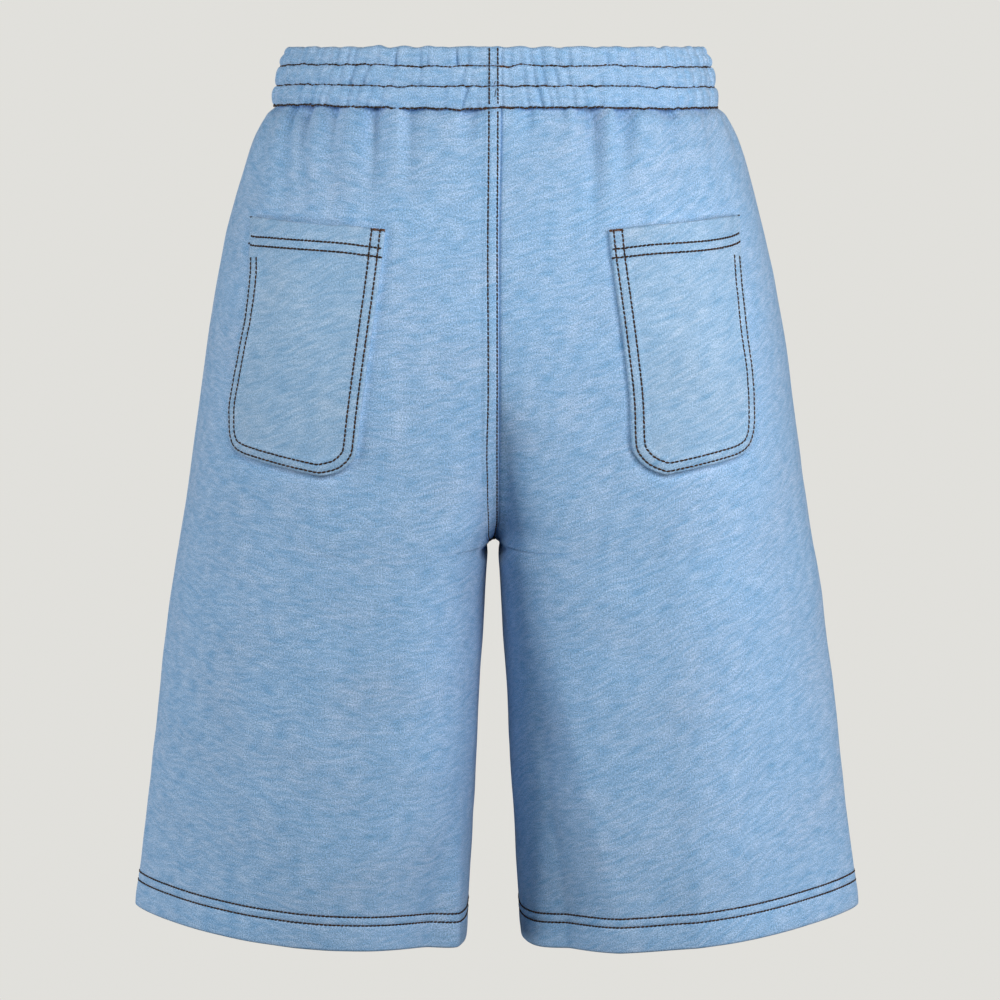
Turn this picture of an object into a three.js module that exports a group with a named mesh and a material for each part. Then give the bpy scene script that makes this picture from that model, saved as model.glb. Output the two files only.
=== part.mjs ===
// Knit shorts: a hollow garment in the form it has when worn, seen with no wearer.
// Units are millimetres, +Z up. The wearer faces -Y, so the back with its two patch
// pockets is at +Y, and the wearer's left is at +X. The origin is the middle of the
// waistband's opening, halfway up the band, where the waist holds it.
// A "drop" is a distance down from the top edge of the waistband.
// A "reach" is a distance along the cloth of one face, round from the centre seam.
import * as THREE from "three";

// ---------------------------------------------------------------- named sizes
const BAND_HEIGHT = 38.7;        // casing with a 38 mm elastic, down to its lowest row
const TOP = 21;                  // height of the band's top edge over the origin
const SEAM_GAP = 0.3;            // between neighbouring pieces
const CLOTH = 1.8;               // sweatshirt knit
const HEM_WALL = 3.6;            // the turned hem is double
const HEM_DEPTH = 23.5;          // height of the turned hem
const PANEL_TOP = BAND_HEIGHT + SEAM_GAP;
const CROTCH_DROP = 318;         // rise, measured straight down
const SIDE_AT_CROTCH = 328;      // drop of the side seam on the row through the crotch
const HEM_DROP = 572;            // outseam at the middle of the leg
const HEM_TILT = 0.086;          // each hem is square to a leg that splays by 4.9 degrees
const LEG_MIDDLE = 129;          // centre of the leg opening, out from the centre plane
const POCKET_WALL = 2.4;         // cloth with its edges turned in
const POCKET_LIFT = 0.5;         // pocket over panel
const POCKET_MOUTH = 1.4;        // extra slack at the pocket's open top edge
const BAND_WALL = 6.2;           // gathered cloth, elastic, gathered cloth

const HALF_GAP = SEAM_GAP / 2;

// Level sections of one half, by drop. side: half width. full: where the face stands
// furthest out. flow: where the leg's rounded tube would end towards the middle; a negative
// value is past the centre plane, so the two halves meet there and leave a valley along
// the seam. inner: the same with the crotch seam's pull, which only its last part follows.
// back, front: depth at the fullest line. sideY: place of the side seam. squareB and
// squareF: exponents of the outer arc, 2 for an ellipse, less for a pointed side.
// squareI: exponent of the inner arc, more than 2 where the seat lies nearly flat up to the
// centre seam and each leg turns in sharply at its inner side.
const SECTIONS = table(
  ["drop", "side", "full", "flow", "inner", "back", "front", "sideY", "squareB", "squareF", "squareI"],
  [
    [0,    138.0,   0.0, -600.0, -600.0, 102.0, 102.0,   0.0, 2.15, 2.15, 2.00],
    [12.8, 139.5,   0.0, -540.0, -540.0, 102.6, 102.6,   0.0, 2.15, 2.15, 2.00],
    [25.3, 141.8,   0.0, -480.0, -480.0, 103.3, 103.3,   0.0, 2.15, 2.15, 2.00],
    [38.7, 143.9,   0.0, -420.0, -420.0, 104.0, 104.0,   0.0, 2.15, 2.15, 2.00],
    [44,   148.0,   2.3, -405.0, -405.0, 106.0, 105.6,  -0.5, 2.20, 2.16, 2.00],
    [50,   152.0,   5.0, -390.0, -390.0, 108.6, 107.8,  -1.6, 2.24, 2.18, 2.00],
    [60,   157.0,   9.0, -362.0, -362.0, 112.5, 111.0,  -3.0, 2.30, 2.20, 2.00],
    [86,   165.2,  19.5, -298.0, -298.0, 121.9, 116.6,  -4.8, 2.41, 2.23, 2.05],
    [110,  171.6,  31.0, -240.0, -240.0, 128.5, 120.4,  -6.4, 2.50, 2.25, 2.15],
    [150,  180.4,  49.0, -152.0, -152.0, 135.0, 124.0,  -9.0, 2.60, 2.24, 2.45],
    [180,  185.8,  62.0, -100.0, -100.0, 137.3, 124.9,  -9.5, 2.53, 2.21, 2.75],
    [230,  193.4,  79.5,  -48.0,  -48.0, 135.0, 123.4, -10.0, 2.34, 2.12, 3.20],
    [270,  199.0,  92.0,  -23.0,  -22.5, 129.6, 120.4,  -8.4, 2.15, 2.02, 3.35],
    [300,  203.6,  99.0,  -11.0,   -9.0, 125.0, 117.7,  -7.0, 2.00, 1.95, 3.35],
    [310,  205.1, 101.4,   -7.7,   -4.4, 123.3, 116.9,  -6.5, 1.95, 1.93, 3.32],
    [318,  206.3, 103.6,   -5.2,    0.0, 121.8, 116.2,  -6.1, 1.91, 1.91, 3.30],
    [323,  207.0, 104.7,   -3.7,    2.4, 121.0, 115.8,  -5.9, 1.89, 1.90, 3.27],
    [329,  208.0, 105.8,   -2.0,    3.4, 120.2, 115.2,  -5.7, 1.87, 1.89, 3.23],
    [343,  210.2, 107.8,    1.3,    4.5, 118.4, 113.9,  -5.2, 1.83, 1.86, 3.15],
    [360,  212.8, 109.6,    4.2,    5.5, 116.4, 112.5,  -4.7, 1.78, 1.83, 3.09],
    [387,  216.2, 112.0,    6.9,    6.9, 113.4, 110.2,  -3.8, 1.71, 1.78, 3.00],
    [427,  221.3, 115.5,    9.2,    9.2, 109.4, 107.0,  -2.6, 1.62, 1.70, 2.90],
    [467,  226.0, 119.0,   11.3,   11.3, 106.0, 103.9,  -1.7, 1.53, 1.62, 2.86],
    [507,  230.6, 122.5,   13.8,   13.8, 103.2, 101.3,  -1.1, 1.46, 1.56, 2.83],
    [560,  237.2, 127.5,   16.5,   16.5,  99.4,  98.6,  -0.4, 1.37, 1.51, 2.78],
    [592,  241.2, 130.2,   19.0,   19.0,  97.4,  97.0,   0.0, 1.36, 1.50, 2.75],
  ],
);
const SEAM_PULL = 12;            // how closely the inner pull keeps to the crotch and inseam
const INSEAM_Y = 2;              // the inseams run down just behind the middle of each leg

// Soft folds that run down from the gathered waist. at: reach of the fold at the seam.
// to: drop where it has died out. lean: sideways run of its lower end. half: half width.
const FOLD_COLUMNS = ["at", "to", "lean", "half", "depth"];
const FOLDS = {
  back_left: table(FOLD_COLUMNS, [
    [17, 70, 0, 9, 1.3],
    [51, 98, 1, 10, 1.7],
    [79, 104, -13, 10, 2.1],
    [108, 100, 3, 10, 1.3],
    [136, 116, 5, 11, 1.9],
    [172, 112, 8, 10, 1.8],
  ]),
  back_right: table(FOLD_COLUMNS, [
    [30, 82, -2, 9, 1.2],
    [61, 106, 2, 10, 1.9],
    [88, 74, 0, 9, 1.5],
    [118, 112, 6, 11, 1.7],
    [154, 116, 7, 10, 1.9],
    [188, 96, 5, 9, 1.4],
  ]),
  front_left: table(FOLD_COLUMNS, [
    [22, 92, 2, 10, 1.6],
    [58, 110, 6, 11, 2.0],
    [95, 84, 1, 10, 1.5],
    [131, 118, 8, 11, 1.9],
    [170, 98, 5, 10, 1.6],
  ]),
  front_right: table(FOLD_COLUMNS, [
    [26, 108, 4, 11, 1.9],
    [63, 86, 1, 10, 1.5],
    [101, 116, 7, 11, 2.0],
    [140, 92, 3, 10, 1.6],
    [174, 110, 7, 10, 1.7],
  ]),
};

// Edges of the patch pockets on the back, from the open top edge to the lower edge.
// Each row gives the reach and the drop of its two ends, nearest the centre seam first.
const POCKET_COLUMNS = ["inReach", "inDrop", "outReach", "outDrop"];
const POCKETS = {
  left: table(POCKET_COLUMNS, [
    [67.9, 113.6, 170.0, 107.3],
    [70.0, 131.0, 167.0, 125.0],
    [72.8, 152.0, 165.4, 146.8],
    [76.5, 177.0, 167.5, 167.0],
    [80.6, 203.6, 171.3, 187.0],
    [84.4, 227.0, 175.7, 207.0],
    [87.8, 246.0, 180.8, 227.0],
    [89.6, 253.0, 181.0, 240.0],
    [94.1, 259.0, 178.8, 248.5],
    [101.7, 264.2, 174.5, 253.8],
    [113.6, 267.2, 165.9, 257.0],
  ]),
  right: table(POCKET_COLUMNS, [
    [69.8, 114.0, 169.0, 106.3],
    [71.4, 129.0, 167.2, 124.0],
    [74.6, 151.7, 166.0, 142.5],
    [77.6, 172.0, 166.8, 162.0],
    [81.3, 198.0, 169.0, 184.0],
    [84.2, 220.4, 172.3, 206.0],
    [86.1, 241.5, 174.1, 230.0],
    [87.6, 249.5, 173.4, 241.0],
    [91.9, 256.0, 170.3, 249.0],
    [99.1, 261.8, 165.5, 253.6],
    [110.4, 266.2, 156.9, 257.0],
  ]),
};

// Section through the waistband. drop: below its top edge. out: from the outer reference
// line. Three puffed channels outside, with the stitched rows at drops 12.8, 25.3 and 38.7.
const BAND_PROFILE = table(["drop", "out"], [
  [38.7, -1.2],
  [35.4, 0.4],
  [31.9, 0.7],
  [28.4, 0.4],
  [25.3, -1.0],
  [22.2, 0.4],
  [19.0, 0.7],
  [15.8, 0.4],
  [12.8, -1.0],
  [9.8, 0.4],
  [6.6, 0.5],
  [3.2, -1.2],
  [1.0, -3.1],
  [0.0, -5.4],
  [1.4, -BAND_WALL - 0.9],
  [6.4, -BAND_WALL - 1.3],
  [19.0, -BAND_WALL - 1.0],
  [32.0, -BAND_WALL - 1.0],
  [38.7, -BAND_WALL - 0.4],
]);

// ---------------------------------------------------------------- grids
// Rows of a panel. Down to the crotch they share out the centre seam; below it the leg.
const RISE_ROWS = [0, 0.014, 0.034, 0.07, 0.12, 0.18, 0.25, 0.33, 0.42, 0.51, 0.61, 0.7, 0.78, 0.86, 0.93];
const INNER_SHARE = 0.3;         // part of a row's columns that close up towards the crotch
const LEG_ROWS = [0, 0.05, 0.13, 0.25, 0.4, 0.56, 0.72, 0.87, 1];
const HEM_ROWS = [HEM_DEPTH, HEM_DEPTH / 2, 0];
const BACK_COLUMNS = 16;
const FRONT_COLUMNS = 12;
const BAND_STEPS = 48;
const POCKET_STEPS = 11;

// ---------------------------------------------------------------- tools
function table(columns, rows) {
  return rows.map((row) => Object.fromEntries(columns.map((name, i) => [name, row[i]])));
}

// Smooth curve through a table's values that never overshoots them.
function smooth(rows, x, y) {
  const xs = rows.map((r) => r[x]);
  const ys = rows.map((r) => r[y]);
  const n = xs.length;
  const step = xs.slice(1).map((v, i) => v - xs[i]);
  const slope = step.map((h, i) => (ys[i + 1] - ys[i]) / h);
  const tangent = ys.map((_, i) => {
    if (i === 0) return slope[0];
    if (i === n - 1) return slope[n - 2];
    if (slope[i - 1] * slope[i] <= 0) return 0;
    const a = step[i - 1];
    const b = step[i];
    return (3 * (a + b)) / ((2 * b + a) / slope[i - 1] + (b + 2 * a) / slope[i]);
  });
  return (at) => {
    const v = Math.min(Math.max(at, xs[0]), xs[n - 1]);
    let i = 0;
    while (i < n - 2 && v > xs[i + 1]) i++;
    const h = step[i];
    const s = (v - xs[i]) / h;
    return (
      ys[i] * (1 + 2 * s) * (1 - s) ** 2 + tangent[i] * h * s * (1 - s) ** 2 +
      ys[i + 1] * s * s * (3 - 2 * s) + tangent[i + 1] * h * s * s * (s - 1)
    );
  };
}

const at = {};
for (const name of Object.keys(SECTIONS[0])) {
  if (name !== "drop") at[name] = smooth(SECTIONS, "drop", name);
}

const mix = (a, b, t) => a + (b - a) * t;

// One face of one half at a drop: a fine line from its inner end to the side seam, in the
// half plane X >= 0. Above the crotch it starts on the centre plane.
const lines = new Map();
function faceLine(face, drop) {
  const key = face + drop.toFixed(4);
  if (lines.has(key)) return lines.get(key);
  const out = face === "back" ? 1 : -1;
  const depth = out * at[face](drop);
  const power = 2 / at[face === "back" ? "squareB" : "squareF"](drop);
  const side = at.side(drop);
  const full = at.full(drop);
  const sideY = at.sideY(drop);
  const flow = at.flow(drop);
  const pull = at.inner(drop) - flow;
  const round = 2 / at.squareI(drop);
  const across = (angle) => {
    const u = Math.sin(angle) ** round;
    return full - (full - flow) * u + pull * u ** SEAM_PULL;
  };
  // the inner end: at the centre plane above the crotch
  let start = Math.PI / 2;
  if (at.inner(drop) < 0) {
    let low = 0;
    for (let i = 0; i < 40; i++) {
      const middle = (low + start) / 2;
      if (across(middle) > 0) low = middle;
      else start = middle;
    }
  }
  const points = [];
  const steps = 60;
  for (let i = 0; i <= steps; i++) {
    const angle = start * (1 - i / steps);
    points.push([across(angle), INSEAM_Y + (depth - INSEAM_Y) * Math.max(Math.cos(angle), 0) ** round]);
  }
  for (let i = 1; i <= steps; i++) {
    const angle = ((Math.PI / 2) * i) / steps;
    points.push([
      full + (side - full) * Math.sin(angle) ** power,
      sideY + (depth - sideY) * Math.max(Math.cos(angle), 0) ** power,
    ]);
  }
  const reach = [0];
  for (let i = 1; i < points.length; i++) {
    reach.push(reach[i - 1] + Math.hypot(points[i][0] - points[i - 1][0], points[i][1] - points[i - 1][1]));
  }
  const line = { points, reach, length: reach[reach.length - 1] };
  lines.set(key, line);
  return line;
}

function onLine(line, reach) {
  const r = Math.min(Math.max(reach, 0), line.length);
  let i = 0;
  while (i < line.reach.length - 2 && r > line.reach[i + 1]) i++;
  const t = (r - line.reach[i]) / (line.reach[i + 1] - line.reach[i]);
  return [
    mix(line.points[i][0], line.points[i + 1][0], t),
    mix(line.points[i][1], line.points[i + 1][1], t),
  ];
}

// How far the folds of one panel pull its surface in.
function foldDepth(node, reach, drop) {
  let depth = 0;
  for (const fold of FOLDS[node]) {
    const t = Math.max(0, (drop - PANEL_TOP) / (fold.to - PANEL_TOP));
    if (t >= 1) continue;
    const off = (reach - fold.at - fold.lean * t) / fold.half;
    depth += fold.depth * (1 - t) ** 1.4 * Math.exp(-off * off);
  }
  return depth;
}

// Drop at which a share of the centre seam's length, from the panel's top, is used up.
function seamShare(face) {
  const rows = [];
  let length = 0;
  let last = null;
  for (let i = 0; i <= 400; i++) {
    const drop = mix(PANEL_TOP, CROTCH_DROP, 1 - (1 - i / 400) ** 2);
    const y = faceLine(face, drop).points[0][1];
    if (last) length += Math.hypot(drop - last[0], y - last[1]);
    last = [drop, y];
    rows.push({ length, drop });
  }
  for (const row of rows) row.share = row.length / length;
  return smooth(rows, "share", "drop");
}
const seamDrop = { back: seamShare("back"), front: seamShare("front") };

// Reach of a column of a face's grid. Towards the crotch the columns nearest the centre
// seam close up, so that the others run straight on down the leg.
const legLength = { back: faceLine("back", CROTCH_DROP + 1).length, front: faceLine("front", CROTCH_DROP + 1).length };
function columnReach(face, share, drop) {
  const length = faceLine(face, drop).length;
  const t = Math.min(Math.max((drop - 150) / (CROTCH_DROP - 150), 0), 1);
  const wide = drop > CROTCH_DROP ? length : mix(length, Math.max(length, legLength[face]), t * t * (3 - 2 * t));
  const inner = length - (1 - INNER_SHARE) * wide;
  if (share < INNER_SHARE) return (inner * share) / INNER_SHARE;
  return length - (1 - share) * wide;
}

// Drop of the hem's edge at a share of the way from inseam to side seam.
function hemDrop(face, share) {
  let drop = HEM_DROP;
  for (let i = 0; i < 4; i++) {
    const line = faceLine(face, drop);
    drop = HEM_DROP + HEM_TILT * (LEG_MIDDLE - onLine(line, share * line.length)[0]);
  }
  return drop;
}

// A point of the cloth's outer surface, with its direction out, in the left half.
function skin(node, face, reach, drop) {
  const line = faceLine(face, drop);
  const [x, y] = onLine(line, reach);
  const d = 0.4;
  const a = onLine(line, reach - d);
  const b = onLine(line, reach + d);
  const sign = face === "back" ? 1 : -1;
  const nx = -sign * (b[1] - a[1]);
  const ny = sign * (b[0] - a[0]);
  const n = Math.hypot(nx, ny);
  const pull = foldDepth(node, reach, drop);
  return new THREE.Vector3(x - (nx / n) * pull, y - (ny / n) * pull, TOP - drop);
}

// Unit normals of a grid of points, on its outer side.
function gridNormals(grid, sign) {
  return grid.map((row, j) =>
    row.map((_, i) => {
      const up = grid[Math.max(j - 1, 0)][i];
      const down = grid[Math.min(j + 1, grid.length - 1)][i];
      const left = row[Math.max(i - 1, 0)];
      const right = row[Math.min(i + 1, row.length - 1)];
      return new THREE.Vector3()
        .crossVectors(right.clone().sub(left), down.clone().sub(up))
        .normalize()
        .multiplyScalar(sign);
    }),
  );
}

// A closed wall from an outer and an inner grid of the same size.
function wall(outer, inner) {
  const rows = outer.length;
  const columns = outer[0].length;
  const position = [...outer.flat(), ...inner.flat()].flatMap((p) => [p.x, p.y, p.z]);
  const index = [];
  const id = (layer, j, i) => layer * rows * columns + j * columns + i;
  const quad = (a, b, c, d) => index.push(a, b, c, a, c, d);
  for (let j = 0; j < rows - 1; j++) {
    for (let i = 0; i < columns - 1; i++) {
      quad(id(0, j, i), id(0, j, i + 1), id(0, j + 1, i + 1), id(0, j + 1, i));
      quad(id(1, j, i), id(1, j + 1, i), id(1, j + 1, i + 1), id(1, j, i + 1));
    }
  }
  for (let i = 0; i < columns - 1; i++) {
    quad(id(0, 0, i + 1), id(0, 0, i), id(1, 0, i), id(1, 0, i + 1));
    const j = rows - 1;
    quad(id(0, j, i), id(0, j, i + 1), id(1, j, i + 1), id(1, j, i));
  }
  for (let j = 0; j < rows - 1; j++) {
    quad(id(0, j, 0), id(0, j + 1, 0), id(1, j + 1, 0), id(1, j, 0));
    const i = columns - 1;
    quad(id(0, j + 1, i), id(0, j, i), id(1, j, i), id(1, j + 1, i));
  }
  return solid(position, index);
}

// Turns the faces out if they enclose a negative volume.
function solid(position, index) {
  const at3 = (i) => new THREE.Vector3().fromArray(position, 3 * i);
  let volume = 0;
  for (let i = 0; i < index.length; i += 3) {
    volume += at3(index[i]).dot(at3(index[i + 1]).cross(at3(index[i + 2])));
  }
  if (volume < 0) index.reverse();
  const geometry = new THREE.BufferGeometry();
  geometry.setAttribute("position", new THREE.Float32BufferAttribute(position, 3));
  geometry.setIndex(index);
  geometry.computeVertexNormals();
  return geometry;
}

// ---------------------------------------------------------------- the panels
function panelGeometry(node, face, side) {
  const columns = face === "back" ? BACK_COLUMNS : FRONT_COLUMNS;
  const shares = Array.from({ length: columns + 1 }, (_, i) => i / columns);
  const rows = [];
  for (const s of RISE_ROWS) {
    rows.push({ above: true, double: false, drops: shares.map((u) => mix(seamDrop[face](s), mix(PANEL_TOP, SIDE_AT_CROTCH, s), u)) });
  }
  const crotchRow = shares.map((u) => mix(CROTCH_DROP, SIDE_AT_CROTCH, u));
  for (const s of LEG_ROWS) {
    rows.push({
      above: s === 0,
      double: false,
      drops: shares.map((u, i) => mix(crotchRow[i], hemDrop(face, u) - HEM_DEPTH - 1, s)),
    });
  }
  for (const k of HEM_ROWS) {
    rows.push({ above: false, double: true, drops: shares.map((u) => hemDrop(face, u) - k) });
  }
  const sign = face === "back" ? 1 : -1;
  const outer = rows.map((row) =>
    row.drops.map((drop, i) => {
      const p = skin(node, face, columnReach(face, shares[i], drop), drop);
      if (i === columns) p.y = at.sideY(drop) + sign * HALF_GAP;
      if (i === 0) {
        if (row.above) p.x = HALF_GAP;
        else p.y = INSEAM_Y + sign * HALF_GAP;
        if (row.above && drop > CROTCH_DROP - 0.01) p.y = INSEAM_Y + sign * HALF_GAP;
      }
      return p;
    }),
  );
  let normals = gridNormals(outer, 1);
  // the middle of the face looks away from the middle of the body
  const middle = normals[6][Math.floor(columns / 2)];
  if (middle.y * sign < 0) normals = gridNormals(outer, -1);
  const inner = outer.map((row, j) =>
    row.map((p, i) => {
      const n = normals[j][i].clone();
      if (i === columns) n.y = 0;
      if (i === 0 && rows[j].above) n.x = 0;
      if (i === 0 && (!rows[j].above || rows[j].drops[0] > CROTCH_DROP - 0.01)) n.y = 0;
      if (j === 0 || j === rows.length - 1) n.z = 0;
      n.normalize();
      return p.clone().addScaledVector(n, -(rows[j].double ? HEM_WALL : CLOTH));
    }),
  );
  if (side === "right") {
    for (const p of [...outer.flat(), ...inner.flat()]) p.x = -p.x;
  }
  return wall(outer, inner);
}

// ---------------------------------------------------------------- the pockets
// Each lies on its panel, a little proud of it, with its edges turned in.
function pocketGeometry(side) {
  const node = `back_${side}`;
  const edge = POCKETS[side];
  const steps = POCKET_STEPS;
  const grid = (lift) =>
    edge.map((row, j) => {
      const slack = POCKET_MOUTH * Math.max(0, 1 - j / 2) ** 1.5;
      return Array.from({ length: steps + 1 }, (_, i) => {
        const t = i / steps;
        const reach = mix(row.inReach, row.outReach, t);
        const drop = mix(row.inDrop, row.outDrop, t);
        const p = skin(node, "back", reach, drop);
        const d = 2;
        const across = skin(node, "back", reach + d, drop).sub(skin(node, "back", reach - d, drop));
        const down = skin(node, "back", reach, drop + d).sub(skin(node, "back", reach, drop - d));
        const n = across.cross(down).normalize();
        if (n.y < 0) n.negate();
        return p.addScaledVector(n, lift + slack * Math.sin(Math.PI * t) ** 0.5);
      });
    });
  const outer = grid(POCKET_LIFT + POCKET_WALL);
  const inner = grid(POCKET_LIFT);
  if (side === "right") {
    for (const p of [...outer.flat(), ...inner.flat()]) p.x = -p.x;
  }
  return wall(outer, inner);
}

// ---------------------------------------------------------------- the waistband
function waistbandGeometry() {
  const position = [];
  const count = BAND_PROFILE.length;
  for (let k = 0; k < BAND_STEPS; k++) {
    const angle = (2 * Math.PI * k) / BAND_STEPS;
    const c = Math.cos(angle);
    const s = Math.sin(angle);
    for (const { drop, out } of BAND_PROFILE) {
      const power = 2 / at.squareB(drop);
      const a = at.side(drop);
      const b = at.back(drop);
      const x = a * Math.sign(c) * Math.abs(c) ** power;
      const y = b * Math.sign(s) * Math.abs(s) ** power;
      // direction out of the ring
      const nx = Math.sign(c) * (Math.abs(c) ** (2 - power)) / a;
      const ny = Math.sign(s) * (Math.abs(s) ** (2 - power)) / b;
      const n = Math.hypot(nx, ny);
      position.push(x + (nx / n) * out, y + (ny / n) * out, TOP - drop);
    }
  }
  const index = [];
  const id = (k, i) => (k % BAND_STEPS) * count + (i % count);
  for (let k = 0; k < BAND_STEPS; k++) {
    for (let i = 0; i < count; i++) {
      index.push(id(k, i), id(k + 1, i), id(k + 1, i + 1), id(k, i), id(k + 1, i + 1), id(k, i + 1));
    }
  }
  return solid(position, index);
}

// ---------------------------------------------------------------- the garment
const knit = (colour) => new THREE.MeshStandardMaterial({ color: colour, roughness: 0.95, metalness: 0 });

const shorts = new THREE.Group();
shorts.name = "knit_shorts";
function add(name, geometry, colour) {
  const mesh = new THREE.Mesh(geometry, knit(colour));
  mesh.name = name;
  shorts.add(mesh);
}

for (const side of ["left", "right"]) {
  add(`back_${side}`, panelGeometry(`back_${side}`, "back", side), 0x89b1dc);
  add(`front_${side}`, panelGeometry(`front_${side}`, "front", side), 0x87afda);
  add(`pocket_${side}`, pocketGeometry(side), 0x93badf);
}
add("waistband", waistbandGeometry(), 0x84acd8);

export default shorts;
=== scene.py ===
# Knit shorts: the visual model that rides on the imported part.
import math

import bmesh
import bpy
import numpy as np
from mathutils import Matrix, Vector


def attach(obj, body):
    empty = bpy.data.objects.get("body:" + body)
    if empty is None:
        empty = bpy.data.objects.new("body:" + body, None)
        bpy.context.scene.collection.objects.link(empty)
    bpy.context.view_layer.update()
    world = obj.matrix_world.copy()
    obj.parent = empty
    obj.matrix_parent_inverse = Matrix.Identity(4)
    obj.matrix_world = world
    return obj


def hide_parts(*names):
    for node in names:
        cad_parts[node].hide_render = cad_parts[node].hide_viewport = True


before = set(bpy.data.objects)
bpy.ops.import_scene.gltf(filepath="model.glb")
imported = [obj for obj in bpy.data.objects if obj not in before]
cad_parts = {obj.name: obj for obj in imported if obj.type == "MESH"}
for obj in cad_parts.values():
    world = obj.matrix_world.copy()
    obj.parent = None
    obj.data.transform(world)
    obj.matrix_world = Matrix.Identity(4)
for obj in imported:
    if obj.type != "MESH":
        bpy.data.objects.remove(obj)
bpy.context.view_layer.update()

MM = 0.001

# ------------------------------------------------------------------ named sizes, mm
TOP = 21.0             # height of the band's top edge over the origin
CLOTH = 1.8            # sweatshirt knit
HEM_DEPTH = 23.5       # height of the turned hem, which is double
PANEL_TOP = 39.0
CROTCH_DROP = 318.0
SIDE_AT_CROTCH = 328.0
HEM_DROP = 572.0
HEM_TILT = 0.086
LEG_MIDDLE = 129.0
INSEAM_Y = 2.0
SEAM_PULL = 12

# Level sections of one half, as in the CAD part. A "drop" is a distance down from the
# band's top edge, and a "reach" a distance along the cloth from the centre seam.
SECTION_COLUMNS = ["drop", "side", "full", "flow", "inner", "back", "front", "sideY", "squareB", "squareF", "squareI"]
SECTIONS = np.array([
    [0,    138.0,   0.0, -600.0, -600.0, 102.0, 102.0,   0.0, 2.15, 2.15, 2.00],
    [12.8, 139.5,   0.0, -540.0, -540.0, 102.6, 102.6,   0.0, 2.15, 2.15, 2.00],
    [25.3, 141.8,   0.0, -480.0, -480.0, 103.3, 103.3,   0.0, 2.15, 2.15, 2.00],
    [38.7, 143.9,   0.0, -420.0, -420.0, 104.0, 104.0,   0.0, 2.15, 2.15, 2.00],
    [44,   148.0,   2.3, -405.0, -405.0, 106.0, 105.6,  -0.5, 2.20, 2.16, 2.00],
    [50,   152.0,   5.0, -390.0, -390.0, 108.6, 107.8,  -1.6, 2.24, 2.18, 2.00],
    [60,   157.0,   9.0, -362.0, -362.0, 112.5, 111.0,  -3.0, 2.30, 2.20, 2.00],
    [86,   165.2,  19.5, -298.0, -298.0, 121.9, 116.6,  -4.8, 2.41, 2.23, 2.05],
    [110,  171.6,  31.0, -240.0, -240.0, 128.5, 120.4,  -6.4, 2.50, 2.25, 2.15],
    [150,  180.4,  49.0, -152.0, -152.0, 135.0, 124.0,  -9.0, 2.60, 2.24, 2.45],
    [180,  185.8,  62.0, -100.0, -100.0, 137.3, 124.9,  -9.5, 2.53, 2.21, 2.75],
    [230,  193.4,  79.5,  -48.0,  -48.0, 135.0, 123.4, -10.0, 2.34, 2.12, 3.20],
    [270,  199.0,  92.0,  -23.0,  -22.5, 129.6, 120.4,  -8.4, 2.15, 2.02, 3.35],
    [300,  203.6,  99.0,  -11.0,   -9.0, 125.0, 117.7,  -7.0, 2.00, 1.95, 3.35],
    [310,  205.1, 101.4,   -7.7,   -4.4, 123.3, 116.9,  -6.5, 1.95, 1.93, 3.32],
    [318,  206.3, 103.6,   -5.2,    0.0, 121.8, 116.2,  -6.1, 1.91, 1.91, 3.30],
    [323,  207.0, 104.7,   -3.7,    2.4, 121.0, 115.8,  -5.9, 1.89, 1.90, 3.27],
    [329,  208.0, 105.8,   -2.0,    3.4, 120.2, 115.2,  -5.7, 1.87, 1.89, 3.23],
    [343,  210.2, 107.8,    1.3,    4.5, 118.4, 113.9,  -5.2, 1.83, 1.86, 3.15],
    [360,  212.8, 109.6,    4.2,    5.5, 116.4, 112.5,  -4.7, 1.78, 1.83, 3.09],
    [387,  216.2, 112.0,    6.9,    6.9, 113.4, 110.2,  -3.8, 1.71, 1.78, 3.00],
    [427,  221.3, 115.5,    9.2,    9.2, 109.4, 107.0,  -2.6, 1.62, 1.70, 2.90],
    [467,  226.0, 119.0,   11.3,   11.3, 106.0, 103.9,  -1.7, 1.53, 1.62, 2.86],
    [507,  230.6, 122.5,   13.8,   13.8, 103.2, 101.3,  -1.1, 1.46, 1.56, 2.83],
    [560,  237.2, 127.5,   16.5,   16.5,  99.4,  98.6,  -0.4, 1.37, 1.51, 2.78],
    [592,  241.2, 130.2,   19.0,   19.0,  97.4,  97.0,   0.0, 1.36, 1.50, 2.75],
])


class Curve:
    """Smooth curve through a table's values that never overshoots them."""

    def __init__(self, xs, ys):
        self.x, self.y = np.asarray(xs, float), np.asarray(ys, float)
        h = np.diff(self.x)
        m = np.diff(self.y) / h
        t = np.zeros_like(self.y)
        t[0], t[-1] = m[0], m[-1]
        for i in range(1, len(t) - 1):
            if m[i - 1] * m[i] > 0:
                a, b = h[i - 1], h[i]
                t[i] = 3 * (a + b) / ((2 * b + a) / m[i - 1] + (b + 2 * a) / m[i])
        self.h, self.t = h, t

    def __call__(self, v):
        v = np.clip(np.asarray(v, float), self.x[0], self.x[-1])
        i = np.clip(np.searchsorted(self.x, v, side="right") - 1, 0, len(self.x) - 2)
        h = self.h[i]
        s = (v - self.x[i]) / h
        return (self.y[i] * (1 + 2 * s) * (1 - s) ** 2 + self.t[i] * h * s * (1 - s) ** 2
                + self.y[i + 1] * s * s * (3 - 2 * s) + self.t[i + 1] * h * s * s * (s - 1))


AT = {name: Curve(SECTIONS[:, 0], SECTIONS[:, k]) for k, name in enumerate(SECTION_COLUMNS) if k}


def mix(a, b, t):
    return a + (b - a) * t


def step(t):
    """Smooth step from 0 to 1."""
    t = np.clip(t, 0, 1)
    return t * t * (3 - 2 * t)


def bell(x):
    return np.exp(-np.square(x))


def unit(v):
    return v / np.maximum(np.linalg.norm(v, axis=-1, keepdims=True), 1e-12)


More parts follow.
